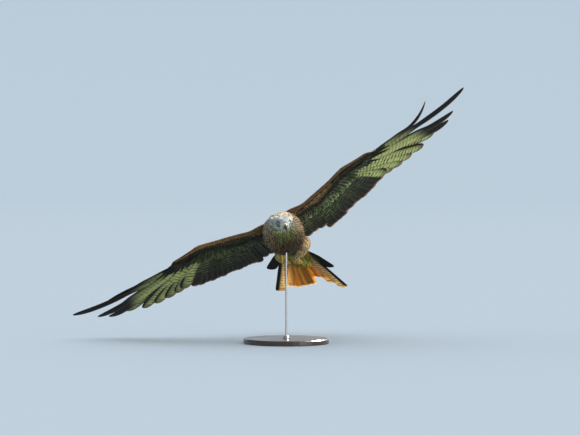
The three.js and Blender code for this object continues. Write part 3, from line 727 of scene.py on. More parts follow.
def feather_material(name, roughness, bar_length, barb_length, through=0.0, mottle=0.12, bump=0.25):
    """A vane of keratin barbs: colour from the piece, cross bars, fine slanting barbs and mottling."""
    material, tree, shader = new_material(name)
    plume = add_node(tree, "ShaderNodeAttribute", attribute_name="plume")
    bars = add_node(tree, "ShaderNodeAttribute", attribute_name="bars")
    vane = add_node(tree, "ShaderNodeUVMap", uv_map="vane")
    split = add_node(tree, "ShaderNodeSeparateXYZ", [(vane.outputs[0], 0)])
    outward = add_node(tree, "ShaderNodeMath", [(split.outputs[0], 0)], operation="ABSOLUTE")
    where = add_node(tree, "ShaderNodeTexCoord")
    cloud = add_node(tree, "ShaderNodeTexNoise", [(where.outputs["Object"], 0)], in_Scale=55.0, in_Detail=3.0)
    # Barbs leave the shaft at a slant, so a line of one barb lies further along the vane as it goes out
    slant = add_node(tree, "ShaderNodeMath", [(outward.outputs[0], 0), (split.outputs[1], 2)],
                     operation="MULTIPLY_ADD", in_1=-0.9)
    wobble = add_node(tree, "ShaderNodeMath", [(cloud.outputs[0], 0), (slant.outputs[0], 2)],
                      operation="MULTIPLY_ADD", in_1=barb_length * 1.5)
    barbs = add_node(tree, "ShaderNodeMath", [(wobble.outputs[0], 0)], operation="MULTIPLY",
                     in_1=2 * math.pi / barb_length)
    barb_wave = add_node(tree, "ShaderNodeMath", [(barbs.outputs[0], 0)], operation="SINE")
    shift = add_node(tree, "ShaderNodeMath", [(cloud.outputs[0], 0), (split.outputs[1], 2)],
                     operation="MULTIPLY_ADD", in_1=bar_length * 0.9)
    turns = add_node(tree, "ShaderNodeMath", [(shift.outputs[0], 0)], operation="MULTIPLY",
                     in_1=2 * math.pi / bar_length)
    bar_wave = add_node(tree, "ShaderNodeMath", [(turns.outputs[0], 0)], operation="SINE")
    bar_edge = add_node(tree, "ShaderNodeMapRange", [(bar_wave.outputs[0], "Value")],
                        interpolation_type="SMOOTHSTEP", in_From_Min=-0.2, in_From_Max=0.5)
    patchy = add_node(tree, "ShaderNodeMapRange", [(cloud.outputs[0], "Value")], in_From_Min=0.4,
                      in_From_Max=0.56, in_To_Min=0.3)
    broken = add_node(tree, "ShaderNodeMath", [(bar_edge.outputs[0], 0), (patchy.outputs[0], 1)],
                      operation="MULTIPLY")
    bar_share = add_node(tree, "ShaderNodeMath", [(broken.outputs[0], 0), (bars.outputs["Alpha"], 1)],
                         operation="MULTIPLY")
    barred = add_node(tree, "ShaderNodeMix", [(bar_share.outputs[0], 0), (plume.outputs["Color"], 6),
                                              (bars.outputs["Color"], 7)], data_type="RGBA")
    shade = add_node(tree, "ShaderNodeMath", [(barb_wave.outputs[0], 0)], operation="MULTIPLY_ADD",
                     in_1=mottle * 0.3, in_2=1.0 - mottle)
    cloudy = add_node(tree, "ShaderNodeMath", [(cloud.outputs[0], 0), (shade.outputs[0], 2)],
                      operation="MULTIPLY_ADD", in_1=mottle * 2)
    colour = add_node(tree, "ShaderNodeVectorMath", [(barred.outputs[2], 0), (cloudy.outputs[0], "Scale")],
                      operation="SCALE")
    ridge = add_node(tree, "ShaderNodeBump", [(barb_wave.outputs[0], "Height")], in_Strength=bump,
                     in_Distance=0.0006)
    tree.links.new(colour.outputs[0], shader.inputs["Base Color"])
    tree.links.new(ridge.outputs[0], shader.inputs["Normal"])
    shader.inputs["Roughness"].default_value = roughness
    shader.inputs["Specular IOR Level"].default_value = 0.12
    if through:
        glow = add_node(tree, "ShaderNodeBsdfTranslucent", [(colour.outputs[0], 0)])
        both = add_node(tree, "ShaderNodeMixShader", [(shader.outputs[0], 1), (glow.outputs[0], 2)],
                        in_0=through)
        output = next(node for node in tree.nodes if node.type == "OUTPUT_MATERIAL")
        tree.links.new(both.outputs[0], output.inputs["Surface"])
    return material


# Flight feathers


def wing_lines(wing, sheets, feather, shares):
    """A flight feather's shaft on the bent wing, with its normals and sides."""
    distance = shares * feather["length"]
    plan = feather["root"] + flat(feather["angle"]) * distance[:, None]
    height = sheets.height_at(feather, distance)
    centre = on_wing(wing, plan, height)
    normal = unit(on_wing(wing, plan, height + 1) - centre)
    ahead = unit(np.gradient(centre, axis=0))
    normal = unit(normal - ahead * np.sum(normal * ahead, 1, keepdims=True))
    return centre[None], normal[None], np.cross(normal, ahead)[None]


def vane_widths(feather, distance):
    """Inner and outer vane widths along a flight feather."""
    length, number = feather["length"], feather["number"]
    base = smooth_step(-8, 70, distance)
    if feather["part"] == "tertial":
        inner, outer, tip = TERTIAL_VANES
    elif feather["part"] == "secondary":
        inner, outer, tip = SECONDARY_VANES
    else:
        vanes = zip(INNER_PRIMARY_VANES, OUTER_PRIMARY_VANES)
        inner, outer = (mix(start, end, (number - 1) / 9) for start, end in vanes)
        tip = PRIMARY_TIP
    inner, outer = inner * base, outer * base
    if is_finger(feather):
        start, width = FINGER_START[number], FINGER_WIDTH[number]
        share = smooth_step(start - 46, start + 8, distance)
        inner, outer = mix(inner, width * 0.6, share), mix(outer, width * 0.4, share)
        tip = FINGER_TIP
    round_tip = np.sqrt(np.clip(1 - np.clip((distance - length + tip) / tip, 0, 1) ** 2.2, 0, 1))
    return inner * round_tip, outer * round_tip


def remex_colours(feather, share, across, above, tones):
    """Colours and cross bars of a flight feather, duller above; across runs from leading to trailing edge."""
    number, length = feather["number"], feather["length"]
    inner = smooth_step(-0.15, 0.15, across)[:, None]
    distance = share * length
    margin = smooth_step(length - 13, length - 5, distance)[:, None]
    near_tip = smooth_step(length - 40, length - 18, distance)[:, None] * (1 - margin)
    rim = smooth_step(0.86, 1.0, across)[:, None] * smooth_step(length * 0.5, length * 0.9, distance)[:, None]
    if feather["part"] != "primary":
        ground = mix(tones["dark"], tones["olive"], inner)
        ground = mix(ground, tones["tip"], np.maximum(margin, rim * 0.2))
        strength = smooth_step(-0.6, 0.0, across) * (1 - smooth_step(0.55, 0.85, share))
        bars = tones["pale_bar"]
    elif number <= 6:
        ground = mix(tones["dark"], tones["window"], inner)
        line = smooth_step(0.8, 1.0, across)[:, None]
        ground = mix(ground, tones["dark"], np.maximum(near_tip * 0.55, line * 0.85))
        ground = mix(ground, tones["warm_tip"], np.maximum(margin, rim * 0.6))
        strength = inner[:, 0] * (1 - margin[:, 0] * 0.6)
        bars = tones["window_bar"]
    else:
        start = FINGER_START[number]
        pale = inner * (1 - smooth_step(start - 90, start - 5, distance))[:, None]
        ground = mix(tones["black"], tones["window"], pale * mix(0.95, 0.55, (number - 7) / 3))
        ground = mix(ground, tones["warm_tip"], smooth_step(0.5, 1.0, across)[:, None] * (1 - pale) * 0.3)
        strength = 0.6 * pale[:, 0]
        bars = tones["black"]
    strength = strength * (1 - 0.6 * above)
    colour = mix(ground, tones["upper_web"], above[:, None] * 0.8)
    return colour, bar_values(bars, strength)


def flight_feathers(name, wing, material, tones, random):
    """The flight feathers of one wing, from the innermost tertial to the outermost primary."""
    sheets = WingSheets(wing)
    side = wing["side"]
    flock = Flock()
    shares, ring_share = LONG_PLUME.shares, LONG_PLUME.share
    feathers = sheets.feathers[1:]
    for index, feather in enumerate(feathers):
        slack = 4 if feather["part"] == "primary" else 8
        feather["length"] += random.uniform(-slack, slack)
        lines = wing_lines(wing, sheets, feather, shares)
        inner, outer = vane_widths(feather, shares * feather["length"])
        widths = np.stack([inner, outer] if side > 0 else [outer, inner], -1)[None]
        centring = (inner - outer)[None, :, None] / 2 * smooth_step(0.3, 0.6, shares)[None, :, None]
        lines = (lines[0] - lines[2] * centring * side, lines[1], lines[2])
        thickness = mix(*WING_FEATHER_THICK, shares)[None]
        lift = np.zeros((1, len(shares)))
        tilt = np.full(len(shares), 0.07)
        if is_finger(feather):
            start, width = FINGER_START[feather["number"]], FINGER_WIDTH[feather["number"]]
            twist = smooth_step(start - 40, start + 60, shares * feather["length"])
            tilt = mix(tilt, FINGER_LOUVRE * 2 / width, twist)
        tilt = -side * tilt[None]
        above = smooth_step(0, 0.5, LONG_PLUME.rise)
        colour, bars = remex_colours(feather, ring_share, LONG_PLUME.across * side, above, tones)
        primary = feather["part"] == "primary"
        colour = colour * random.uniform(*((0.82, 1.15) if primary else (0.55, 1.6)))
        colour = colour * (1 if side > 0 else SHADED_WING)
        bars[:, 3] *= random.uniform(*((0.85, 1.0) if primary else (0.2, 1.0)))
        width = 1 / len(feathers)
        bake = np.stack([(index + 0.5 + 0.44 * LONG_PLUME.across) * width, inset(ring_share)], -1)
        flock.add(LONG_PLUME, lines, widths, thickness, lift, colour[None], bake[None], bars[None],
                  shift=tilt, phase=random.uniform(0, 0.006))
    nodes = [f"wing_{name}_{part}" for part in ("forearm", "hand")]
    nodes += [f"wing_{name}_primary_{number}" for number in (7, 8, 9, 10)]
    return flock.piece(f"flight_feathers_{name}", material, "dark_feathers", *nodes)


# Tail


def tail_lines(index, shares):
    angle, length = TAIL_FEATHERS[index]
    base = np.array([mix(-TAIL_BASE_HALF, TAIL_BASE_HALF, index / (len(TAIL_FEATHERS) - 1)), 0])
    way = np.array([math.sin(math.radians(angle)), math.cos(math.radians(angle))])
    distance = 22 + shares * (length - 22)
    plan = base + way * distance[:, None]
    from_centre = plan - (0, FAN_CENTRE)
    reach = np.linalg.norm(from_centre, axis=1)
    fan_angle = np.degrees(np.arctan2(from_centre[:, 0], from_centre[:, 1]))
    droop = -FAN_DROOP * (fan_angle / FAN_HALF) ** 2 * np.maximum(reach - TAIL_OPEN + FAN_CENTRE, 0)
    stack = (3 - abs(index - 5.5)) * mix(0.7, 0.35, shares)
    centre = on_tail(np.stack([plan[:, 0], plan[:, 1], droop + stack], 1))
    ahead = unit(np.gradient(centre, axis=0))
    normal = TAIL[:, 2] - ahead * (ahead @ TAIL[:, 2])[:, None]
    normal = unit(normal)
    return centre[None], normal[None], np.cross(normal, ahead)[None]


def tail_feathers(material, tones, random):
    """The twelve tail feathers, the middle pair on top."""
    flock = Flock()
    shares, ring_share = LONG_PLUME.shares, LONG_PLUME.share
    count = len(TAIL_FEATHERS)
    inner_vane, outer_vane, tip = TAIL_VANES
    for index, (_, length) in enumerate(TAIL_FEATHERS):
        toward_middle = 1 if index >= count / 2 else -1
        distance = shares * length
        full = smooth_step(-20, 90, distance)
        full = full * np.sqrt(np.clip(1 - np.clip((distance - length + tip) / tip, 0, 1) ** 2.4, 0, 1))
        inner, outer = inner_vane * full, outer_vane * full
        widths = np.stack([inner, outer] if toward_middle > 0 else [outer, inner], -1)[None]
        across = LONG_PLUME.across * toward_middle
        outward = abs(index - (count - 1) / 2)
        paler = smooth_step(2.2, 4.4, outward)
        stub = outward > 5
        inner_web = smooth_step(-0.2, 0.1, across)[:, None]
        shaft = 1 - smooth_step(0.0, 0.4, np.abs(across))[:, None]
        ground = mix(tones["rufous"], tones["amber"], smooth_step(0.2, 0.9, np.abs(across))[:, None])
        ground = mix(ground, tones["umber"], shaft * 0.55) * random.uniform(0.8, 1.15)
        ground = mix(ground, tones["cream"], paler)
        ground = mix(ground, mix(tones["edge_web"], ground, inner_web), smooth_step(4.0, 4.4, outward))
        ring_distance = ring_share * length
        worn = random.uniform(-6, 6)
        tip_share = smooth_step(length - 20 + worn, length - 7, ring_distance)[:, None]
        before_tip = smooth_step(length - 42, length - 24, ring_distance)[:, None] * (1 - tip_share)
        ground = mix(ground, tones["subtip"], before_tip * 0.4 * inner_web)
        ground = mix(ground, tones["pale_tip"], tip_share * 0.85)
        # The roots are painted olive: painted shade under the tail coverts, with a green cast of light
        # reflected from below.
        ground = mix(ground, tones["base"], (1 - smooth_step(0.1, 0.45, ring_share))[:, None] * 0.5)
        if stub:
            ground = np.broadcast_to(tones["stub"], ground.shape)
        strength = mix(0.15, 0.75, paler) * smooth_step(-0.6, 0.1, across) * (0 if stub else 1)
        bars = bar_values(tones["bar"], strength)
        bake = np.stack([(index + 0.5 + 0.44 * LONG_PLUME.across) / count, inset(ring_share)], -1)
        tilt = np.full((1, len(shares)), 0.05 * toward_middle)
        flock.add(LONG_PLUME, tail_lines(index, shares), widths, mix(*TAIL_FEATHER_THICK, shares)[None],
                  np.zeros((1, len(shares))), ground[None], bake[None], bars[None], curl=0.02, shift=tilt)
    return flock.piece("tail_feather_vanes", material, "rufous_feathers", "tail")


# Wing coverts


def row_places(sheets, sheet, ahead, spacing, random, first=0.0, last=25.0):
    """Places of one row of coverts, a distance ahead of the flight feathers' roots."""
    row = (1 - ahead / sheets.chord) * ROOT_ROW
    column = np.arange(len(row), dtype=float)
    points = sheet.place(np.maximum(row, 0), column)
    run = run_along(points)
    places = np.arange(random.uniform(0, spacing), run[-1], spacing)
    places = places + random.normal(0, spacing * 0.12, len(places))
    columns = np.interp(places, run, column)
    rows = np.interp(columns, column, row)
    keep = (rows > 1.0) & (columns >= first * WING_PARTS) & (columns <= last * WING_PARTS)
    return rows[keep], columns[keep]


def add_coverts(flock, sheets, sheet, rows, columns, length, half, colours, random, pattern=COVERT_PLUME,
                sink=2.4, turn=0.0, point=0.5, thick=0.8, streak=0.45, fringe=0.9, fringe_from=0.84,
                raised=0.5, bar_colour=None):
    """Adds coverts that lie along the flight feathers' directions from places on a wing's surface."""
    wing = sheets.wing
    shares = pattern.shares
    known = np.arange(len(sheets.angle))
    angle = np.interp(columns, known, sheets.angle) + turn + random.normal(0, 2.0, len(rows))
    plan = sheet.sample(sheets.plan, rows, columns)
    aim = wing_aim(wing, plan, angle)
    length = length * random.uniform(0.93, 1.07, len(rows))
    lines = walk(sheet, rows, columns, length, shares, aim=aim)
    half_width = np.outer(np.broadcast_to(half, len(rows)), outline(shares, point))
    lift = mix(-sink, raised, shares) + random.uniform(-0.2, 0.2, (len(rows), 1))
    thickness = np.outer(np.ones(len(rows)), mix(thick * 1.4, thick * 0.6, shares))
    edge, centre, root = (np.broadcast_to(item, (len(rows), 3)) * random.uniform(0.5, 1.4, (len(rows), 1))
                          for item in colours)
    colour = streaked(pattern, edge, centre, root, streak=streak, fringe=fringe, fringe_from=fringe_from)
    where = np.stack([inset(columns / (len(known) - 1)), inset(rows / (ROOT_ROW * 1.1))], -1)
    bars = None
    if bar_colour is not None:
        strength = np.broadcast_to(random.uniform(0, 0.5, (len(rows), 1)), (len(rows), pattern.count))
        bars = bar_values(bar_colour, strength)
    flock.add(pattern, lines, half_width, thickness, lift, colour, patches(pattern, where), bars, curl=0.05)


def mix_tones(first, second, share):
    """Fringe, centre and root colours part way from one set to another."""
    return [mix(start, end, share) for start, end in zip(first, second)]


def covert_layers(flock, sheets, sheet, tones, random, below):
    """Greater, median and lesser coverts of one face of a wing, and its primary coverts."""
    feathers = sheets.feathers
    known = np.arange(len(feathers)) * float(WING_PARTS)
    greater = tones["under_greater"] if below else tones["upper_greater"]
    for start, end, share, half, point in ((0, 17, 0.40, 12.5, 0.5), (17, 26, 0.31, 8.5, 0.75)):
        index = np.arange(start, end)
        length = np.array([feathers[item]["length"] for item in index]) * share
        columns = known[index] + random.normal(0, 0.4, len(index))
        inner_part = start == 0
        add_coverts(flock, sheets, sheet, np.full(len(index), ROOT_ROW * 0.99),
                    np.clip(columns, 0, known[-1]), length, half,
                    greater if inner_part else tones["primary_coverts"], random, sink=2.0, point=point,
                    streak=0.8 if inner_part else 0.9, fringe=1.0 if inner_part else 0.3, fringe_from=0.75,
                    bar_colour=tones["pale_bar"] if inner_part and below else None)
    reach = sheets.chord.max()
    median = tones["under_median"] if below else tones["upper_median"]
    rows, columns = row_places(sheets, sheet, 7, 9.5, random)
    add_coverts(flock, sheets, sheet, rows, columns, 50, 8.5, median, random, streak=0.7)
    rows, columns = row_places(sheets, sheet, 1.5, 11, random)
    add_coverts(flock, sheets, sheet, rows, columns, 62, 10, mix_tones(median, greater, 0.5), random,
                sink=2.6, streak=0.8, fringe=0.9, fringe_from=0.75)
    ahead = 13.0
    lesser = tones["under_lesser"] if below else tones["upper_lesser"]
    while ahead < reach:
        share = min(ahead / 60, 1)
        rows, columns = row_places(sheets, sheet, ahead, mix(10.0, 8.0, share), random)
        if len(rows):
            blend = mix_tones(median, lesser, smooth_step(0.25, 0.75, share))
            add_coverts(flock, sheets, sheet, rows, columns, mix(38, 26, share), mix(8.5, 6.5, share), blend,
                        random, pattern=BODY_PLUME, sink=2.2, fringe=0.8, streak=0.5)
        ahead += mix(10.0, 8.0, share)
    if not below:
        # The alula: three stiff feathers along the leading edge of the hand
        wrist = (SECONDARY_COUNT + 4.6) * WING_PARTS
        add_coverts(flock, sheets, sheet, np.array([9.0, 7.0, 5.0]), wrist + np.array([0.0, 2.0, 4.0]),
                    np.array([96.0, 78.0, 58.0]), 7.5, tones["primary_coverts"], random, sink=-0.6,
                    raised=1.4, turn=-46, thick=1.0, fringe=0.2)


def edge_sheet(sheets):
    """The rounded leading edge, from under the wing over to its upper side, by columns outwards."""
    upper, lower = sheets.upper.points, sheets.lower.points
    row = 5
    across = np.linspace(0, 1, 13)
    first, last = lower[row], upper[row]
    front = (lower[0] + upper[0]) / 2
    ahead = front - (first + last) / 2
    bulge = np.sin(np.pi * across) ** 0.6
    run = run_along(front)
    # Next to the neck the edge swells forwards and up, where the shoulder's feathers meet the mantle
    shoulder = (1 - smooth_step(15, 95, run))[:, None] * np.array([0, -SHOULDER_SWELL, SHOULDER_SWELL * 0.7])
    points = mix(first[None], last[None], across[:, None, None])
    points = points + (ahead * 1.12 + shoulder)[None] * bulge[:, None, None]
    return Sheet(np.swapaxes(points, 0, 1), outward=-sheets.wing["side"])


def add_edge(flock, sheets, tones, random):
    """Marginal coverts wrapped round the leading edge, pointing outwards and back."""
    sheet = edge_sheet(sheets)
    columns_out = sheet.points.shape[0]
    run = run_along(sheet.points[:, 6])
    for place in np.arange(2, run[-1] - 8, 4.0):
        out = np.interp(place, run, np.arange(columns_out))
        size = mix(5.0, 2.6, place / run[-1])
        around = np.arange(0.5, 11.9, 1.15) + random.uniform(-0.3, 0.3)
        rows = np.full(len(around), out) + random.uniform(-0.4, 0.4, len(around))
        rows = np.clip(rows, 0, columns_out - 2)
        shares = BODY_PLUME.shares
        swerve = (around - 6) / 6 * 0.95 * -1
        lines = walk(sheet, rows, np.clip(around, 0, 11.9), size * 3.6, shares, swerve=-swerve)
        half = np.outer(np.full(len(rows), size), outline(shares))
        lift = np.outer(np.ones(len(rows)), mix(-1.6, 0.5, shares))
        thick = np.outer(np.ones(len(rows)), mix(0.8, 0.5, shares))
        over = smooth_step(4.5, 7.5, around)[:, None]
        edge, centre, root = (mix(under, above, over) * random.uniform(0.5, 1.4, (len(rows), 1))
                              for under, above in zip(tones["margin_below"], tones["margin_above"]))
        colour = streaked(BODY_PLUME, edge, centre, root, streak=0.6)
        where = np.stack([inset(rows / columns_out), inset(around / 12)], -1)
        flock.add(BODY_PLUME, lines, half, thick, lift, colour, patches(BODY_PLUME, where), curl=0.1)


# Body plumage

# Ring numbers along the body where the colours below are given, from bill to tail base
TRACT_PLACES = (0, 4, 7, 9, 11, 14, 18, 20, 22, 24)
# Fringe and centre colours of the feathers on the back, the sides and the underside. The underside's colours
# are partly painted light: their green cast stands for light reflected from grass below, and from the lower
# throat to the belly they are painted darker than the bird's own rufous, as painted shade. The back's pale
# cream at the nape is partly painted highlight.
TRACTS = {
    "back": (("#d3dee2", "#dbe4e6", "#ece4d4", "#f0dcbe", "#dcb488",
              "#946640", "#945f35", "#a6622f", "#ad632b", "#ba6b2e"),
             ("#7d8a90", "#3c4348", "#2f2c2a", "#5a4232", "#3a291c",
              "#261b13", "#3a2416", "#5f381d", "#84461f", "#904d1d")),
    "side": (("#dfe9ed", "#e4edf0", "#ddd4c2", "#ecd0ac", "#e2bd94",
              "#cfa678", "#9c7a48", "#9c7a38", "#b09038", "#bb9a3c"),
             ("#a3afb6", "#6f7a80", "#17130f", "#0f0c09", "#0f0c09",
              "#15100b", "#1c150c", "#3c3014", "#5c5420", "#6e5a24")),
    "under": (("#e0e9e3", "#dfebc6", "#cfe0a0", "#6d7640", "#564c2c",
               "#4e4024", "#5c5422", "#98962e", "#bdb636", "#c0a83c"),
              ("#b3bdb4", "#75825a", "#1f2416", "#0c0b08", "#0c0a07",
               "#100c08", "#12100a", "#33360f", "#66701f", "#77702a")),
}
# Feather length, half width and root depth at ring numbers along the body
TRACT_SIZES = ((0, 3.6, 0.7, 0.7), (2, 6, 1.0, 1.1), (4, 10, 1.6, 1.5), (8, 24, 4.0, 2.6), (11, 38, 6.4, 3.4),
               (14, 44, 8.0, 4.0), (18, 48, 9.0, 4.0), (21, 60, 9.5, 3.2), (22, 74, 10.0, 2.6),
               (24, 88, 10.5, 2.0))


def tract_colours(ring, angle):
    """Fringe and centre colours at ring numbers and angles round the body."""
    # The head is turned, so the face's pale feathers reach further back on the right side of the neck
    neck = smooth_step(5, 8, ring) * (1 - smooth_step(10, 14, ring)) * smooth_step(-0.5, 0.2, np.sin(angle))
    ring = ring + 2.0 * np.minimum(np.cos(angle), 0) * neck
    over = np.clip(np.sin(angle), 0, 1)[:, None] ** 1.5
    under = np.clip(-np.sin(angle), 0, 1)[:, None] ** 1.2
    result = []
    for part in (0, 1):
        back, side, belly = (np.stack([np.interp(ring, TRACT_PLACES, channel) for channel in
                                       np.array(linear_set(*TRACTS[key][part])).T], 1)
                             for key in ("back", "side", "under"))
        result.append(side * (1 - over - under) + back * over + belly * under)
    return result


def ring_numbers(sheet):
    """The ring number of each row of the body's sheet."""
    stations = run_along(body_stations().mean(1))
    return np.interp(sheet.places, stations, np.arange(len(stations)))


def sizes_at(ring):
    table = np.array(TRACT_SIZES, float).T
    return [np.interp(ring, table[0], table[part]) for part in (1, 2, 3)]


def eye_gap(points):
    """Distance from each point to the nearer eye's gaze line, in front of the eye's middle."""
    gaps = []
    for side in (1, -1):
        gaze = HEAD @ unit(np.array([side * GAZE[0], GAZE[1], GAZE[2]]))
        middle = on_head((side * EYE_PLACE[0], EYE_PLACE[1], EYE_PLACE[2]))
        away = points - middle
        depth = away @ gaze
        gap = np.linalg.norm(away - depth[:, None] * gaze, axis=1)
        gaps.append(np.where(depth > -4, gap, 99.0))
    return np.minimum(*gaps)


def point_tree(points):
    """A search tree that finds points by their place and gives their numbers."""
    tree = KDTree(len(points))
    for index, point in enumerate(points):
        tree.insert(point, index)
    tree.balance()
    return tree


class Flesh:
    """The surfaces of body and wings, for leaving out feathers that would start inside another part."""

    def __init__(self):
        self.body = body_sheet()
        self.ring = ring_numbers(self.body)
        self.wings = {name: WingSheets(wing) for name, wing in WINGS.items()}
        self.trees = {}

    def depth(self, key, sheet, points):
        """How deep points lie under a sheet, and how far its nearest point is."""
        if key not in self.trees:
            self.trees[key] = point_tree(sheet.points.reshape(-1, 3))
        found = [self.trees[key].find(point)[1:] for point in points]
        nearest = np.array([item[0] for item in found], int)
        gap = points - sheet.points.reshape(-1, 3)[nearest]
        depth = -np.einsum("ij,ij->i", gap, sheet.normal.reshape(-1, 3)[nearest])
        return depth, np.array([item[1] for item in found])

    def in_wing(self, points):
        """Points that lie inside either wing."""
        result = np.zeros(len(points), bool)
        for name, sheets in self.wings.items():
            upper, near = self.depth(f"{name} upper", sheets.upper, points)
            lower, close = self.depth(f"{name} lower", sheets.lower, points)
            result |= (upper > 0.3) & (lower > 0.3) & (np.minimum(near, close) < 22)
        return result

    def in_body(self, points, deeper=1.5):
        depth, near = self.depth("body", self.body, points)
        return (depth > deeper) & (near < 60)


def body_places(sheet, ring, first, last, arc, random):
    """Staggered roots between two ring numbers and inside an arc of angles, by each tract's feather size."""
    rows, columns = [], []
    place = float(np.interp(first, ring, sheet.places))
    end = float(np.interp(last, ring, sheet.places))
    odd = 0
    while place < end:
        row = float(np.interp(place, sheet.places, np.arange(len(sheet.places))))
        number = np.interp(row, np.arange(len(ring)), ring)
        length, half, _ = sizes_at(number)
        loose = smooth_step(6, 9, number)
        ring_points = sheet.points[int(row)]
        run = run_along(np.concatenate([ring_points, ring_points[:1]]))
        count = max(int(run[-1] / (half * mix(1.25, 1.6, loose))), 6)
        around = (np.arange(count) + 0.5 * odd) / count * run[-1]
        around = around + random.normal(0, half * 0.15, count)
        column = np.interp(around % run[-1], run, np.arange(BODY_COLUMNS + 1))
        degrees = column / BODY_COLUMNS * 360
        keep = ((degrees - arc[0]) % 360) <= (arc[1] - arc[0])
        columns.append(column[keep])
        rows.append(np.full(keep.sum(), row) + random.normal(0, length * 0.04 / BODY_STEP, keep.sum()))
        place += float(length * mix(0.25, 0.34, loose))
        odd = 1 - odd
    return np.concatenate(rows), np.concatenate(columns)


def body_coat(name, flesh, material, slot, first, last, arc, random, pattern=BODY_PLUME, point=0.75,
              streak=0.7, fringe=0.5):
    """Body feathers between two ring numbers, as one piece."""
    sheet, ring = flesh.body, flesh.ring
    rows, columns = body_places(sheet, ring, first, last, arc, random)
    rows = np.clip(rows, 0, len(ring) - 2)
    points = sheet.place(rows, columns)
    keep = ~flesh.in_wing(points)
    number = np.interp(rows, np.arange(len(ring)), ring)
    length, half, depth = sizes_at(number)
    gap = eye_gap(points) if first < 8 else np.full(len(rows), 99.0)
    keep &= gap > 7.9
    rows, columns, number, length, half, depth, gap = (item[keep] for item in
                                                       (rows, columns, number, length, half, depth, gap))
    near_eye = 1 - smooth_step(9.8, 12.8, gap)
    length, half = length * mix(1, 0.5, near_eye), half * mix(1, 0.7, near_eye)
    length = length * random.uniform(0.75, 1.25, len(rows))
    shares = pattern.shares
    swerve = random.normal(0, 0.15, len(rows))
    lines = walk(sheet, rows, columns, length, shares, swerve=swerve)
    half_width = np.outer(half, outline(shares, point))
    lift = -depth[:, None] * (1 - shares)[None] + random.uniform(-0.25, 0.35, (len(rows), 1)) * shares[None]
    lift = lift - near_eye[:, None] * 1.1
    base = np.clip(half * 0.09, 0.16, 0.6)
    thickness = np.outer(base, mix(1.3, 0.6, shares))
    angle = columns / BODY_COLUMNS * 2 * np.pi
    edge, centre = tract_colours(number, angle)
    # Tones vary at random from feather to feather; from the neck back the bird's left side is also painted up
    # to 35% lighter and its right side darker, as painted light and shade.
    shade = random.uniform(0.45, 1.45, (len(rows), 1)) * mix(1, 1 + 0.35 * np.cos(angle),
                                                             smooth_step(7, 10, number))[:, None]
    # Near each eye the feathers are painted almost black: partly the dark feathering round the eye, partly
    # painted shade under the brow.
    dark = linear("#1d1c1b")
    edge = mix(edge * shade, dark, near_eye[:, None] * 0.9)
    centre = mix(centre * shade, dark, near_eye[:, None])
    root = mix(edge, centre, 0.6) * 0.8
    colour = streaked(pattern, edge, centre, root, streak=streak, fringe=fringe)
    flock = Flock()
    flock.add(pattern, lines, half_width, thickness, lift, colour,
              patches(pattern, unwrap(columns, rows)), curl=0.08)
    return flock.piece(name, material, slot)


def thigh_sheet(side):
    """The thigh's surface, from the flank back to the ankle."""
    centres = [(np.array([side * x - BODY_BEND * y, y, z]), radius) for x, y, z, radius in THIGH_STATIONS]
    ankle = on_tail((side * 25, -18, -53))
    centres.append((mix(centres[-1][0], ankle, 0.5) + (0, 0, -4), THIGH_END[0]))
    centres.append((ankle, THIGH_END[1]))
    angle = np.linspace(0, 2 * np.pi, THIGH_COLUMNS, endpoint=False)
    ring = np.stack([np.cos(angle), 0 * angle, np.sin(angle)], 1)
    rings = np.stack([centre + radius * ring for centre, radius in centres])
    stations = run_along(rings.mean(1))
    places = np.linspace(0, stations[-1], int(stations[-1] / 2) + 1)
    sheet = Sheet(smooth_through(stations, rings, places), wraps=True)
    sheet.places = places
    return sheet


def thigh_coat(name, side, flesh, material, tones, random):
    """The feathered trousers of one leg, with fringes and centres of the tones given."""
    sheet = thigh_sheet(side)
    flock = Flock()
    shares = BODY_PLUME.shares
    place, odd = 2.0, 0
    while place < sheet.places[-1] - 4:
        share = place / sheet.places[-1]
        row = place / 2
        half, length = mix(8, 5, share), mix(36, 22, share)
        radius = np.linalg.norm(sheet.points[int(row)] - sheet.points[int(row)].mean(0), axis=1).mean()
        count = int(2 * np.pi * radius / (half * 1.5))
        columns = (np.arange(count) + 0.5 * odd) / count * THIGH_COLUMNS
        rows = np.full(count, row) + random.normal(0, 0.5, count)
        points = sheet.place(rows, columns)
        keep = ~flesh.in_body(points, deeper=7)
        rows, columns = rows[keep], columns[keep]
        if len(rows):
            lines = walk(sheet, rows, columns, length * random.uniform(0.9, 1.1, len(rows)), shares,
                         swerve=random.normal(0, 0.08, len(rows)))
            half_width = np.outer(np.full(len(rows), half), outline(shares, 0.6))
            lift = np.outer(np.ones(len(rows)), mix(-3.0, 0.4, shares))
            thick = np.outer(np.ones(len(rows)), mix(1.2, 0.6, shares))
            shade = random.uniform(0.6, 1.3, (len(rows), 1))
            edge, centre = (np.broadcast_to(linear(code), (len(rows), 3)) * shade for code in tones)
            colour = streaked(BODY_PLUME, edge, centre, centre * 0.8, streak=0.4, fringe=0.6)
            where = np.stack([columns / THIGH_COLUMNS, rows * 2 / sheet.places[-1]], -1) * 0.98 + 0.01
            flock.add(BODY_PLUME, lines, half_width, thick, lift, colour, patches(BODY_PLUME, where),
                      curl=0.12)
        place += length * 0.3
        odd = 1 - odd
    return flock.piece(name, material, "brown_feathers")


# Skin and bare parts


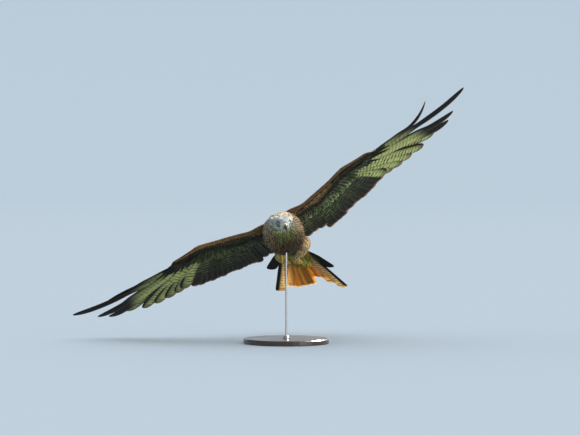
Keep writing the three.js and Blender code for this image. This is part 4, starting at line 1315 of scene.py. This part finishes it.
def loft(build, rings):
    """A closed body through rings: a grid rolled up, sewn along its seam and filled at its ends."""
    rows, around = rings.shape[:2]
    before = set(build.edges)
    grid = bmesh.ops.create_grid(build, x_segments=around, y_segments=rows - 1, size=1)["verts"]
    place = np.array([vertex.co for vertex in grid])
    low, high = place.min(0), place.max(0)
    columns = np.rint((place[:, 0] - low[0]) / (high[0] - low[0]) * around).astype(int) % around
    levels = np.rint((place[:, 1] - low[1]) / (high[1] - low[1]) * (rows - 1)).astype(int)
    for vertex, level, column in zip(grid, levels, columns):
        vertex.co = rings[level, column]
    bmesh.ops.remove_doubles(build, verts=grid, dist=1e-4)
    edges = [edge for edge in build.edges if edge not in before]
    bmesh.ops.holes_fill(build, edges=[edge for edge in edges if edge.is_boundary], sides=0)


def smooth_mesh(build, name):
    """Turns a bmesh into a smoothly shaded mesh."""
    for face in build.faces:
        face.smooth = True
    mesh = bpy.data.meshes.new(name)
    build.to_mesh(mesh)
    build.free()
    return mesh


def bird_mesh(build, name):
    """Turns a bmesh of the bird's frame into a mesh of the model's frame."""
    bmesh.ops.recalc_face_normals(build, faces=build.faces)
    for vertex in build.verts:
        vertex.co = to_model(vertex.co)
    return smooth_mesh(build, name)


def bird_piece(build, name, material, slot, *nodes):
    """Makes a finished piece of a bmesh of the bird's frame."""
    obj = bpy.data.objects.new(name, bird_mesh(build, name))
    finish_piece(obj, material, slot, *nodes)
    return obj


def applied(obj):
    """Replaces an object's mesh by the result of its modifiers."""
    graph = bpy.context.evaluated_depsgraph_get()
    graph.update()
    mesh = bpy.data.meshes.new_from_object(obj.evaluated_get(graph))
    obj.modifiers.clear()
    obj.data = mesh
    for polygon in mesh.polygons:
        polygon.use_smooth = True
    return obj


def arm_rings(sheets, last=48, sink=1.6):
    """Closed rings round the flesh of a wing, from the shoulder to the tip."""
    wing = WingSheets(sheets.wing, sink)
    upper, lower = wing.upper.points[:last:4], wing.lower.points[:last:4]
    ring = np.concatenate([upper, lower[::-1]])
    return np.swapaxes(ring, 0, 1)[::2]


def skin_piece(flesh, material):
    """One skin over head, neck, trunk, rump, arms and thighs, coloured like the plumage over it, its painted
    light and shade included.
    """
    build = bmesh.new()
    depth = sizes_at(flesh.ring)[2] + 0.6
    body = body_sheet(depth)
    loft(build, body.points[::2, ::2])
    for sheets in flesh.wings.values():
        loft(build, arm_rings(sheets))
    for side in (1, -1):
        leg = thigh_sheet(side)
        middle = leg.points.mean(1, keepdims=True)
        loft(build, (middle + (leg.points - middle) * 0.86)[::2, ::2])
    mesh = bird_mesh(build, "skin")
    obj = bpy.data.objects.new("skin", mesh)
    bpy.context.scene.collection.objects.link(obj)
    merge = obj.modifiers.new("one_skin", "REMESH")
    merge.mode, merge.voxel_size = "VOXEL", 0.0026
    applied(obj)
    smoothing = bmesh.new()
    smoothing.from_mesh(obj.data)
    for _ in range(3):
        bmesh.ops.smooth_vert(smoothing, verts=smoothing.verts, factor=0.5, use_axis_x=True, use_axis_y=True,
                              use_axis_z=True)
    smoothing.to_mesh(obj.data)
    smoothing.free()
    paint_skin(obj, flesh)
    nodes = ["head", "neck", "trunk", "rump", "thigh_left", "thigh_right"]
    nodes += [f"wing_{name}_upper_arm" for name in WINGS]
    finish_piece(obj, material, "brown_feathers", *nodes)
    return obj


def paint_skin(obj, flesh):
    """Gives the skin the colour of the feathers that lie over it."""
    co = np.zeros(len(obj.data.vertices) * 3, np.float32)
    obj.data.vertices.foreach_get("co", co)
    points = (co.reshape(-1, 3) * 1000 - SHOULDERS) @ BIRD
    rows, columns = flesh.body.points.shape[:2]
    number = np.repeat(flesh.ring, columns)
    angle = np.tile(np.arange(columns) / columns * 2 * np.pi, rows)
    edge, centre = tract_colours(number, angle)
    colours = [mix(edge, centre, 0.55) * 0.8]
    places = [flesh.body.points.reshape(-1, 3)]
    for sheets in flesh.wings.values():
        for sheet, code in ((sheets.upper, "#46341f"), (sheets.lower, "#1a140d")):
            part = sheet.points[:50:3, ::3].reshape(-1, 3)
            places.append(part)
            colours.append(np.broadcast_to(linear(code), part.shape))
    places, colours = np.concatenate(places), np.concatenate(colours)
    tree = point_tree(places)
    found = colours[[tree.find(point)[1] for point in points]]
    found = np.concatenate([found, np.ones((len(found), 1))], 1)
    attribute = obj.data.attributes.new("plume", "FLOAT_COLOR", "POINT")
    attribute.data.foreach_set("color", found.astype(np.float32).ravel())


def smooth_copy(node, name, voxel=0.0, levels=0, rounds=0):
    """A sewn-up, smoothed copy of a CAD node's mesh as a new piece."""
    build = bmesh.new()
    build.from_mesh(frame["nodes"][node].data)
    bmesh.ops.remove_doubles(build, verts=build.verts, dist=1e-6)
    obj = bpy.data.objects.new(name, smooth_mesh(build, name))
    bpy.context.scene.collection.objects.link(obj)
    if voxel:
        obj.modifiers.new("even", "REMESH").voxel_size = voxel
    if rounds:
        smoother = obj.modifiers.new("soften", "SMOOTH")
        smoother.factor, smoother.iterations = 0.5, rounds
    if levels:
        divide = obj.modifiers.new("round", "SUBSURF")
        divide.levels = divide.render_levels = levels
    return applied(obj)


def eye_frame(side):
    """The turn from +Z to an eye's line of gaze, and the eye's place, in the head's frame."""
    gaze = Vector(unit(np.array([side * GAZE[0], GAZE[1], GAZE[2]])))
    return gaze.to_track_quat("Z", "Y").to_matrix(), (side * EYE_PLACE[0], *EYE_PLACE[1:])


def eye_piece(name, side, material, node):
    """An eyeball with a bulging cornea, its pole on the line of gaze."""
    build = bmesh.new()
    bmesh.ops.create_uvsphere(build, u_segments=48, v_segments=40, radius=EYE_RADIUS)
    turn, middle = eye_frame(side)
    angles = []
    for vertex in build.verts:
        polar = math.degrees(math.acos(max(-1, min(1, vertex.co.z / EYE_RADIUS))))
        angles.append(polar)
        grow = 1 + CORNEA_BULGE * max(0, 1 - (polar / CORNEA_REACH) ** 2)
        vertex.co = Vector(on_head(np.array(turn @ (vertex.co * grow)) + middle))
    obj = bird_piece(build, name, material, "eye", node)
    attribute = obj.data.attributes.new("gaze_angle", "FLOAT", "POINT")
    attribute.data.foreach_set("value", np.array(angles, np.float32))


def lid_piece(name, side, material):
    """The bare dark rim of the eyelids, flattened above by the brow."""
    build = bmesh.new()
    circle = bmesh.ops.create_circle(build, cap_ends=False, segments=10, radius=1.0)["verts"]
    for vertex in circle:
        vertex.co = Vector((LID_MIDDLE[0] + vertex.co.x * LID_HALF[0], 0,
                            LID_MIDDLE[1] + vertex.co.y * LID_HALF[1]))
    bmesh.ops.spin(build, geom=build.verts[:] + build.edges[:], cent=(0, 0, 0), axis=(0, 0, 1),
                   angle=2 * math.pi, steps=48, use_merge=True, use_duplicate=False)
    turn, middle = eye_frame(side)
    for vertex in build.verts:
        local = turn @ vertex.co
        if local.z > 0:
            local.z *= BROW_FLATTENS
        vertex.co = Vector(on_head(np.array(local) + middle))
    bird_piece(build, name, material, "horn")


def tube_rings(stations, count, around, ridge=0.0):
    """Rings of a curved, tapering tube in the head's frame, with a ridge along its top."""
    stations = np.array(stations, float)
    run = run_along(stations[:, 1:3])
    fine = smooth_through(run, stations, np.linspace(0, run[-1], count))
    angle = np.linspace(0, 2 * np.pi, around, endpoint=False)
    rings = []
    for x, y, z, half_width, half_height, tilt in fine:
        up = half_height * np.sin(angle)
        narrow = 1 - ridge * np.clip(np.sin(angle), 0, 1) ** 2
        tilt = math.radians(tilt)
        rings.append(np.stack([x + half_width * np.cos(angle) * narrow, y - up * math.sin(tilt),
                               z + up * math.cos(tilt)], 1))
    return np.array(rings)


def tube_piece(name, stations, material, slot, nodes, count=36, around=32, ridge=0.0):
    build = bmesh.new()
    loft(build, on_head(tube_rings(stations, count, around, ridge)))
    bird_piece(build, name, material, slot, *nodes)


def gape_piece(name, side, material):
    """The yellow corner of the mouth, from the cere back under the eye."""
    stations = np.array(GAPE)
    run = run_along(stations[:, :3])
    fine = smooth_through(run, stations, np.linspace(0, run[-1], 20))
    angle = np.linspace(0, 2 * np.pi, 12, endpoint=False)
    ring = np.stack([0 * angle, np.cos(angle), np.sin(angle)], 1)
    rings = fine[:, None, :3] * (side, 1, 1) + ring[None] * fine[:, None, 3:] * (1, 1.0, 0.8)
    build = bmesh.new()
    loft(build, on_head(rings))
    bird_piece(build, name, material, "yellow_skin")


def nostril_piece(name, side, material):
    build = bmesh.new()
    bmesh.ops.create_uvsphere(build, u_segments=16, v_segments=10, radius=1)
    for vertex in build.verts:
        local = np.array(vertex.co) * NOSTRIL_SIZE + (side * NOSTRIL_PLACE[0], *NOSTRIL_PLACE[1:])
        vertex.co = Vector(on_head(local))
    bird_piece(build, name, material, "horn")


# Materials of the bare parts and the stand


def skin_material():
    """Down-covered skin, seen only between feathers: matt, coloured like the plumage over it, its painted
    light and shade included.
    """
    material, tree, shader = new_material("down_covered_skin")
    plume = add_node(tree, "ShaderNodeAttribute", attribute_name="plume")
    where = add_node(tree, "ShaderNodeTexCoord")
    fluff = add_node(tree, "ShaderNodeTexNoise", [(where.outputs["Object"], 0)], in_Scale=600.0,
                     in_Detail=4.0)
    shade = add_node(tree, "ShaderNodeMath", [(fluff.outputs[0], 0)], operation="MULTIPLY_ADD", in_1=0.7,
                     in_2=0.6)
    colour = add_node(tree, "ShaderNodeVectorMath",
                      [(plume.outputs["Color"], 0), (shade.outputs[0], "Scale")], operation="SCALE")
    bump = add_node(tree, "ShaderNodeBump", [(fluff.outputs[0], "Height")], in_Strength=0.5,
                    in_Distance=0.001)
    tree.links.new(colour.outputs[0], shader.inputs["Base Color"])
    tree.links.new(bump.outputs[0], shader.inputs["Normal"])
    shader.inputs["Roughness"].default_value = 0.85
    return material


def eye_material():
    """A wet cornea over a black pupil, a pale flecked iris and a dark rim."""
    material, tree, shader = new_material("cornea_and_iris")
    angle = add_node(tree, "ShaderNodeAttribute", attribute_name="gaze_angle")
    where = add_node(tree, "ShaderNodeTexCoord")
    fleck = add_node(tree, "ShaderNodeTexNoise", [(where.outputs["Object"], 0)], in_Scale=1400.0,
                     in_Detail=3.0)
    share = add_node(tree, "ShaderNodeMapRange", [(angle.outputs["Fac"], "Value")], in_From_Min=0.0,
                     in_From_Max=60.0)
    ramp = add_node(tree, "ShaderNodeValToRGB", [(share.outputs[0], 0)])
    stops = ((0.0, "#040404"), (0.36, "#040404"), (0.4, "#84863e"), (0.48, "#b6b46e"), (0.56, "#9a9852"),
             (0.6, "#3a371f"), (0.63, "#100e0b"), (1.0, "#100e0b"))
    while len(ramp.color_ramp.elements) < len(stops):
        ramp.color_ramp.elements.new(0.5)
    for element, (place, code) in zip(ramp.color_ramp.elements, stops):
        element.position, element.color = place, colour_socket(code)
    shade = add_node(tree, "ShaderNodeMath", [(fleck.outputs[0], 0)], operation="MULTIPLY_ADD", in_1=0.7,
                     in_2=0.65)
    colour = add_node(tree, "ShaderNodeVectorMath", [(ramp.outputs[0], 0), (shade.outputs[0], "Scale")],
                      operation="SCALE")
    tree.links.new(colour.outputs[0], shader.inputs["Base Color"])
    shader.inputs["Roughness"].default_value = 0.12
    shader.inputs["Specular IOR Level"].default_value = 0.2
    shader.inputs["Coat Weight"].default_value = 0.6
    shader.inputs["Coat Roughness"].default_value = 0.02
    return material


def patterned_material(name, dark, light, roughness, scale, bump=0.2, distance=0.0004, stretch=(1, 1, 1),
                       coat=0.0, metallic=0.0, detail=4.0):
    """A surface of two close colours in a stretched noise pattern that also raises it."""
    material, tree, shader = new_material(name)
    where = add_node(tree, "ShaderNodeTexCoord")
    sized = add_node(tree, "ShaderNodeMapping", [(where.outputs["Object"], 0)], in_Scale=stretch)
    noise = add_node(tree, "ShaderNodeTexNoise", [(sized.outputs[0], 0)], in_Scale=scale, in_Detail=detail)
    both = add_node(tree, "ShaderNodeMix", [(noise.outputs[0], 0)], data_type="RGBA",
                    in_6=colour_socket(dark), in_7=colour_socket(light))
    raised = add_node(tree, "ShaderNodeBump", [(noise.outputs[0], "Height")], in_Strength=bump,
                      in_Distance=distance)
    tree.links.new(both.outputs[2], shader.inputs["Base Color"])
    tree.links.new(raised.outputs[0], shader.inputs["Normal"])
    shader.inputs["Roughness"].default_value = roughness
    shader.inputs["Coat Weight"].default_value = coat
    shader.inputs["Coat Roughness"].default_value = 0.12
    shader.inputs["Metallic"].default_value = metallic
    return material


def scaled_skin_material():
    """Yellow leg skin: waxy, in small polygonal scutes about 2.5 mm across."""
    material, tree, shader = new_material("scaled_leg_skin")
    where = add_node(tree, "ShaderNodeTexCoord")
    cells = add_node(tree, "ShaderNodeTexVoronoi", [(where.outputs["Object"], 0)], feature="DISTANCE_TO_EDGE",
                     in_Scale=400.0)
    edge = add_node(tree, "ShaderNodeMapRange", [(cells.outputs[0], "Value")], in_From_Min=0.0,
                    in_From_Max=0.25)
    both = add_node(tree, "ShaderNodeMix", [(edge.outputs[0], 0)], data_type="RGBA",
                    in_6=colour_socket("#8a6218"), in_7=colour_socket("#dcae32"))
    raised = add_node(tree, "ShaderNodeBump", [(edge.outputs[0], "Height")], in_Strength=0.6,
                      in_Distance=0.0004)
    tree.links.new(both.outputs[2], shader.inputs["Base Color"])
    tree.links.new(raised.outputs[0], shader.inputs["Normal"])
    shader.inputs["Roughness"].default_value = 0.42
    return material


# Panel settings


def tint(name, code, text):
    """A colour property in the panel."""
    return bpy.props.FloatVectorProperty(name=name, description=text, subtype="COLOR", size=3, min=0, max=1,
                                         default=tuple(linear(code)))


class KitePlumage(bpy.types.PropertyGroup):
    """Sizes and colours of the kite's feathers."""

    # Bars are about 12 mm apart on the bird, and are drawn a little wider so that they show from afar
    bar_spacing: bpy.props.FloatProperty(name="Bar spacing",
                                         description="Distance between cross bars on a vane",
                                         default=0.0165, min=0.005, max=0.05, unit="LENGTH")
    barb_spacing: bpy.props.FloatProperty(name="Barb spacing", description="Width of the barb bundles drawn",
                                          default=0.0012, min=0.0005, max=0.01, unit="LENGTH")
    # The window's inner webs are pale; their yellow-green cast is painted light reflected from grass below.
    window: tint("Wing window", "#bcc47c", "Inner webs of the inner primaries")
    olive: tint("Secondaries", "#1b1b11", "Inner webs of the secondaries")
    dark: tint("Outer webs", "#14130d", "Outer webs of the flight feathers")
    finger: tint("Fingers", "#0d0c0a", "Free outer primaries")
    tip: tint("Feather tips", "#a08468", "Worn pale margin of the flight feathers")
    tail: tint("Tail", "#cc9426", "Rufous of the tail feathers")
    cream: tint("Tail edge", "#e3cf9e", "Inner webs of the outer tail feathers")


class KiteStage(bpy.types.PropertyGroup):
    """Light and backdrop."""

    backdrop: tint("Backdrop", "#dce5ec", "Pale floor and backdrop")
    sun: bpy.props.FloatProperty(name="Sun", description="Strength of the sun from behind", default=10.0,
                                 min=0)
    side: bpy.props.FloatProperty(name="Side light", description="Strength of the soft light from the right",
                                  default=2.2, min=0)
    glow: bpy.props.FloatProperty(name="Grass glow", description="Strength of the green light from below",
                                  default=0.7, min=0)


def settings():
    return bpy.context.scene.kite_plumage


def flight_tones():
    kite = settings()
    # The green cast of the pale bars, the window's bars and the under greater coverts' fringes is painted
    # light reflected from grass below.
    return {
        "window": picked(kite.window), "olive": picked(kite.olive), "dark": picked(kite.dark),
        "black": picked(kite.finger), "tip": picked(kite.tip), "pale_bar": linear("#6f7c42"),
        "warm_tip": linear("#8a6544"), "window_bar": linear("#2c3416"), "upper_web": linear("#2b231c"),
        "under_greater": linear_set("#98a66e", "#0e0e0a", "#0a0a07"),
        "upper_greater": linear_set("#9c7d58", "#33291f", "#211a14"),
        "under_median": linear_set("#2c2716", "#0d0c08", "#0a0906"),
        "upper_median": linear_set("#b3946a", "#4c3b29", "#33271b"),
        "under_lesser": linear_set("#9c8158", "#2a2014", "#17110b"),
        "upper_lesser": linear_set("#9a6e45", "#382719", "#281c12"),
        "primary_coverts": linear_set("#1c1a15", "#0b0a09", "#080706"),
        "margin_below": linear_set("#8f7450", "#2a2016", "#1c150e"),
        "margin_above": linear_set("#6b4a35", "#17110d", "#120d09"),
    }


def tail_tones():
    kite = settings()
    return {
        "rufous": picked(kite.tail), "cream": picked(kite.cream), "pale_tip": linear("#ecdcbc"),
        "subtip": linear("#7a4a14"), "base": linear("#84861e"), "edge_web": linear("#17110b"),
        "stub": linear("#14100b"), "bar": linear("#33200f"), "amber": linear("#f2c450"),
        "umber": linear("#7e5210"),
    }


def plume_material(name, **changes):
    """The shared vane material, made once for each name."""
    found = bpy.data.materials.get(name)
    if found:
        return found
    kite = settings()
    options = {"roughness": 0.62, "bar_length": kite.bar_spacing, "barb_length": kite.barb_spacing}
    return feather_material(name, **{**options, **changes})


FLESH = Flesh()


class KiteOperator(bpy.types.Operator):
    """Shared settings of the operators below."""

    bl_options = {"REGISTER", "UNDO"}


class KITE_OT_skin(KiteOperator):
    """Makes the skin under the plumage."""

    bl_idname = "kite.skin"
    bl_label = "Skin"

    def execute(self, context):
        skin_piece(FLESH, skin_material())
        return {"FINISHED"}


class KITE_OT_flight_feathers(KiteOperator):
    """Makes the flight feathers of both wings."""

    bl_idname = "kite.flight_feathers"
    bl_label = "Flight feathers"

    def execute(self, context):
        material = plume_material("barred_flight_vane", roughness=0.5, through=0.12)
        for name, wing in WINGS.items():
            random = np.random.default_rng(SEED + wing["side"])
            flight_feathers(name, wing, material, flight_tones(), random)
        return {"FINISHED"}


class KITE_OT_tail(KiteOperator):
    """Makes the twelve tail feathers."""

    bl_idname = "kite.tail"
    bl_label = "Tail feathers"

    def execute(self, context):
        material = plume_material("barred_tail_vane", roughness=0.5, through=0.6, bar_length=0.015)
        tail_feathers(material, tail_tones(), np.random.default_rng(SEED))
        return {"FINISHED"}


class KITE_OT_coverts(KiteOperator):
    """Makes the coverts of both wings, above, below and along the leading edge."""

    bl_idname = "kite.coverts"
    bl_label = "Wing coverts"

    def execute(self, context):
        material = plume_material("soft_covert_vane", roughness=0.7, bump=0.14)
        for name, sheets in FLESH.wings.items():
            tones = flight_tones()
            # The right wing's under coverts are painted darker than the left's, as painted shade.
            if name == "right":
                tones["under_lesser"] = linear_set("#5a4e2c", "#15120b", "#100d08")
                tones["under_greater"] = linear_set("#6f7c48", "#0e0e0a", "#0a0a07")
            for face in ("under", "upper"):
                random = np.random.default_rng(SEED + len(name) + len(face))
                flock = Flock()
                below = face == "under"
                covert_layers(flock, sheets, sheets.lower if below else sheets.upper, tones, random, below)
                flock.piece(f"{face}wing_coverts_{name}", material, "brown_feathers")
            flock = Flock()
            add_edge(flock, sheets, tones, np.random.default_rng(SEED))
            flock.piece(f"marginal_coverts_{name}", material, "brown_feathers", f"wing_{name}_alula")
        return {"FINISHED"}


class KITE_OT_body(KiteOperator):
    """Makes the plumage of neck, trunk, legs and tail base."""

    bl_idname = "kite.body"
    bl_label = "Body plumage"

    def execute(self, context):
        material = plume_material("soft_body_vane", roughness=0.75, bump=0.1)
        random = np.random.default_rng(SEED)
        body_coat("coat_neck_breast", FLESH, material, "brown_feathers", 8.2, 12.6, (0, 360), random)
        body_coat("coat_trunk_above", FLESH, material, "brown_feathers", 12.4, 18.2, (-10, 190), random)
        body_coat("coat_trunk_below", FLESH, material, "brown_feathers", 12.4, 18.2, (190, 350), random)
        body_coat("coat_rump", FLESH, material, "brown_feathers", 18.0, 21.2, (0, 360), random)
        body_coat("tail_coverts", FLESH, material, "rufous_feathers", 21.0, 23.6, (0, 360), random)
        # Both thighs share one plumage: the left's cream is painted light, and the right's dull olive is
        # painted shade with a green cast of reflected light.
        for name, side, tones in (("left", 1, ("#e6c896", "#6a4e2c")), ("right", -1, ("#b09a54", "#3a3014"))):
            thigh_coat(f"coat_thigh_{name}", side, FLESH, material, tones, random)
        return {"FINISHED"}


class KITE_OT_head(KiteOperator):
    """Makes the head's plumage, eyes, lids, cere and bill."""

    bl_idname = "kite.head"
    bl_label = "Head"

    def execute(self, context):
        material = plume_material("fine_head_vane", roughness=0.75, bump=0.1)
        random = np.random.default_rng(SEED)
        body_coat("coat_head", FLESH, material, "pale_feathers", 0.12, 8.4, (0, 360), random,
                  pattern=HEAD_PLUME, point=0.8, streak=0.3, fringe=0.2)
        eye = eye_material()
        lid = patterned_material("bare_eyelid_skin", "#1b1a19", "#35322e", 0.5, 900, bump=0.4)
        # Horn grown in layers: blue-black at the tip and greyer at its base, with a satin polish
        horn = patterned_material("bill_horn", "#171b26", "#2c3444", 0.3, 220, bump=0.12, stretch=(1, 0.3, 1),
                                  coat=0.25)
        wax = patterned_material("waxy_cere_skin", "#a89c50", "#c6bd70", 0.45, 320, bump=0.3)
        hole = patterned_material("nostril_skin", "#1a140a", "#33260f", 0.7, 500)
        tube_piece("cere_skin", CERE, wax, "yellow_skin", ("cere",), count=24)
        tube_piece("bill_hook", UPPER_BILL, horn, "horn", ("bill_upper",), count=44, ridge=0.18)
        tube_piece("lower_bill_horn", LOWER_BILL, horn, "horn", ("bill_lower",), count=24)
        for name, side in (("left", 1), ("right", -1)):
            eye_piece(f"eyeball_{name}", side, eye, f"eye_{name}")
            lid_piece(f"eyelids_{name}", side, lid)
            gape_piece(f"gape_{name}", side, wax)
            nostril_piece(f"nostril_{name}", side, hole)
        return {"FINISHED"}


class KITE_OT_feet(KiteOperator):
    """Makes the scaled feet and the claws."""

    bl_idname = "kite.feet"
    bl_label = "Feet and claws"

    def execute(self, context):
        scales = scaled_skin_material()
        horn = patterned_material("claw_horn", "#0f0f10", "#26262a", 0.28, 500, bump=0.1, coat=0.3)
        for name in ("left", "right"):
            foot = smooth_copy(f"foot_{name}", f"scaled_foot_{name}", voxel=0.0009, rounds=4)
            finish_piece(foot, scales, "yellow_skin", f"foot_{name}")
            for toe in (1, 2, 3, 4):
                claw = smooth_copy(f"claw_{name}_{toe}", f"curved_claw_{name}_{toe}", levels=2)
                finish_piece(claw, horn, "horn", f"claw_{name}_{toe}")
        return {"FINISHED"}


class KITE_OT_stand(KiteOperator):
    """Finishes the display stand's wood and steel."""

    bl_idname = "kite.stand"
    bl_label = "Stand"

    def execute(self, context):
        # Beech turned and stained, under satin lacquer: long faint grain and a soft highlight
        wood = patterned_material("stained_turned_beech", "#1c1512", "#33261e", 0.38, 60, bump=0.08,
                                  stretch=(0.15, 2.2, 1), coat=0.35, detail=6.0)
        # Drawn steel rubbed along its length: fine streaks and a broad highlight
        steel = patterned_material("satin_drawn_steel", "#8c8e92", "#b4b6ba", 0.3, 900, bump=0.05,
                                   stretch=(1, 1, 0.02), metallic=1.0)
        for node, material in (("stand_base", wood), ("stand_ferrule", steel), ("stand_rod", steel)):
            mesh = frame["nodes"][node].data
            mesh.materials.clear()
            mesh.materials.append(material)
        return {"FINISHED"}


def add_sun(name, way, strength, softness, colour, lit):
    """A directional light that falls only on the pieces of one collection."""
    data = bpy.data.lights.new(name, "SUN")
    data.energy, data.angle, data.color = strength, math.radians(softness), tuple(linear(colour))
    lamp = bpy.data.objects.new(name, data)
    lamp.rotation_euler = Vector(way).to_track_quat("-Z", "Y").to_euler()
    lamp.light_linking.receiver_collection = lit
    bpy.context.scene.collection.objects.link(lamp)


class KITE_OT_stage(KiteOperator):
    """Makes the floor, backdrop, lights and camera."""

    bl_idname = "kite.stage"
    bl_label = "Stage"

    def execute(self, context):
        scene = context.scene
        stage = scene.kite_stage
        build = bmesh.new()
        bmesh.ops.create_grid(build, x_segments=4, y_segments=96, size=1)
        full = FLOOR_TURN - FLOOR_FRONT + FLOOR_RADIUS * math.pi / 2
        for vertex in build.verts:
            run = (vertex.co.y + 1) / 2 * full + FLOOR_FRONT
            bend = min(max(run - FLOOR_TURN, 0) / FLOOR_RADIUS, math.pi / 2)
            rise = max(run - FLOOR_TURN - FLOOR_RADIUS * math.pi / 2, 0)
            vertex.co = Vector((vertex.co.x * 30, min(run, FLOOR_TURN) + FLOOR_RADIUS * math.sin(bend),
                                FLOOR_RADIUS * (1 - math.cos(bend)) + rise))
        bmesh.ops.recalc_face_normals(build, faces=build.faces)
        mesh = smooth_mesh(build, "floor_and_backdrop")
        floor = bpy.data.objects.new("floor_and_backdrop", mesh)
        scene.collection.objects.link(floor)
        material, _, shader = new_material("matt_painted_backdrop")
        shader.inputs["Base Color"].default_value = (*stage.backdrop, 1)
        shader.inputs["Roughness"].default_value = 0.9
        shader.inputs["Specular IOR Level"].default_value = 0.1
        mesh.materials.append(material)
        world = bpy.data.worlds.new("soft_sky")
        world.use_nodes = True
        background = world.node_tree.nodes["Background"]
        background.inputs["Color"].default_value = colour_socket("#dfe8ef")
        background.inputs["Strength"].default_value = 1.0
        scene.world = world
        bird = bpy.data.collections.new("lit_bird")
        for obj in scene.objects:
            if obj.type == "MESH" and obj != floor:
                bird.objects.link(obj)
        add_sun("sun", (-0.62, -0.55, -0.72), stage.sun, 2, "#fff0dc", bird)
        add_sun("side_light", (-0.75, 0.6, -0.1), stage.side, 30, "#fff4e4", bird)
        add_sun("grass_glow", (0.15, 0.45, 0.85), stage.glow, 60, "#b9e06a", bird)
        data = bpy.data.cameras.new("camera")
        data.sensor_width, data.lens = 36, CAMERA_LENS
        data.clip_start, data.clip_end = 0.1, 100
        camera = bpy.data.objects.new("camera", data)
        aim, tilt = Vector(CAMERA_AIM), math.radians(CAMERA_TILT)
        camera.location = aim + CAMERA_DISTANCE * Vector((0, -math.cos(tilt), math.sin(tilt)))
        camera.rotation_euler = (aim - camera.location).to_track_quat("-Z", "Y").to_euler()
        scene.collection.objects.link(camera)
        scene.camera = camera
        scene.view_settings.view_transform = "Standard"
        return {"FINISHED"}


class KITE_PT_panel(bpy.types.Panel):
    """Lists the kite's pieces, sizes and colours."""

    bl_idname = "KITE_PT_panel"
    bl_label = "Red kite"
    bl_space_type = "VIEW_3D"
    bl_region_type = "UI"
    bl_category = "Red kite"

    def draw(self, context):
        for operator in OPERATORS:
            self.layout.operator(operator.bl_idname)
        groups = (context.scene.kite_plumage, KitePlumage), (context.scene.kite_stage, KiteStage)
        for group, settings_class in groups:
            for name in settings_class.__annotations__:
                self.layout.prop(group, name)


OPERATORS = (KITE_OT_skin, KITE_OT_flight_feathers, KITE_OT_tail, KITE_OT_coverts, KITE_OT_body, KITE_OT_head,
             KITE_OT_feet, KITE_OT_stand, KITE_OT_stage)
CLASSES = (KitePlumage, KiteStage, *OPERATORS, KITE_PT_panel)


def register():
    for item in CLASSES:
        bpy.utils.register_class(item)
    bpy.types.Scene.kite_plumage = bpy.props.PointerProperty(type=KitePlumage)
    bpy.types.Scene.kite_stage = bpy.props.PointerProperty(type=KiteStage)


def unregister():
    del bpy.types.Scene.kite_stage
    del bpy.types.Scene.kite_plumage
    for item in reversed(CLASSES):
        bpy.utils.unregister_class(item)


def main():
    register()
    for operator in ("skin", "flight_feathers", "tail", "coverts", "body", "head", "feet", "stand", "stage"):
        getattr(bpy.ops.kite, operator)()


if __name__ == "__main__":
    main()
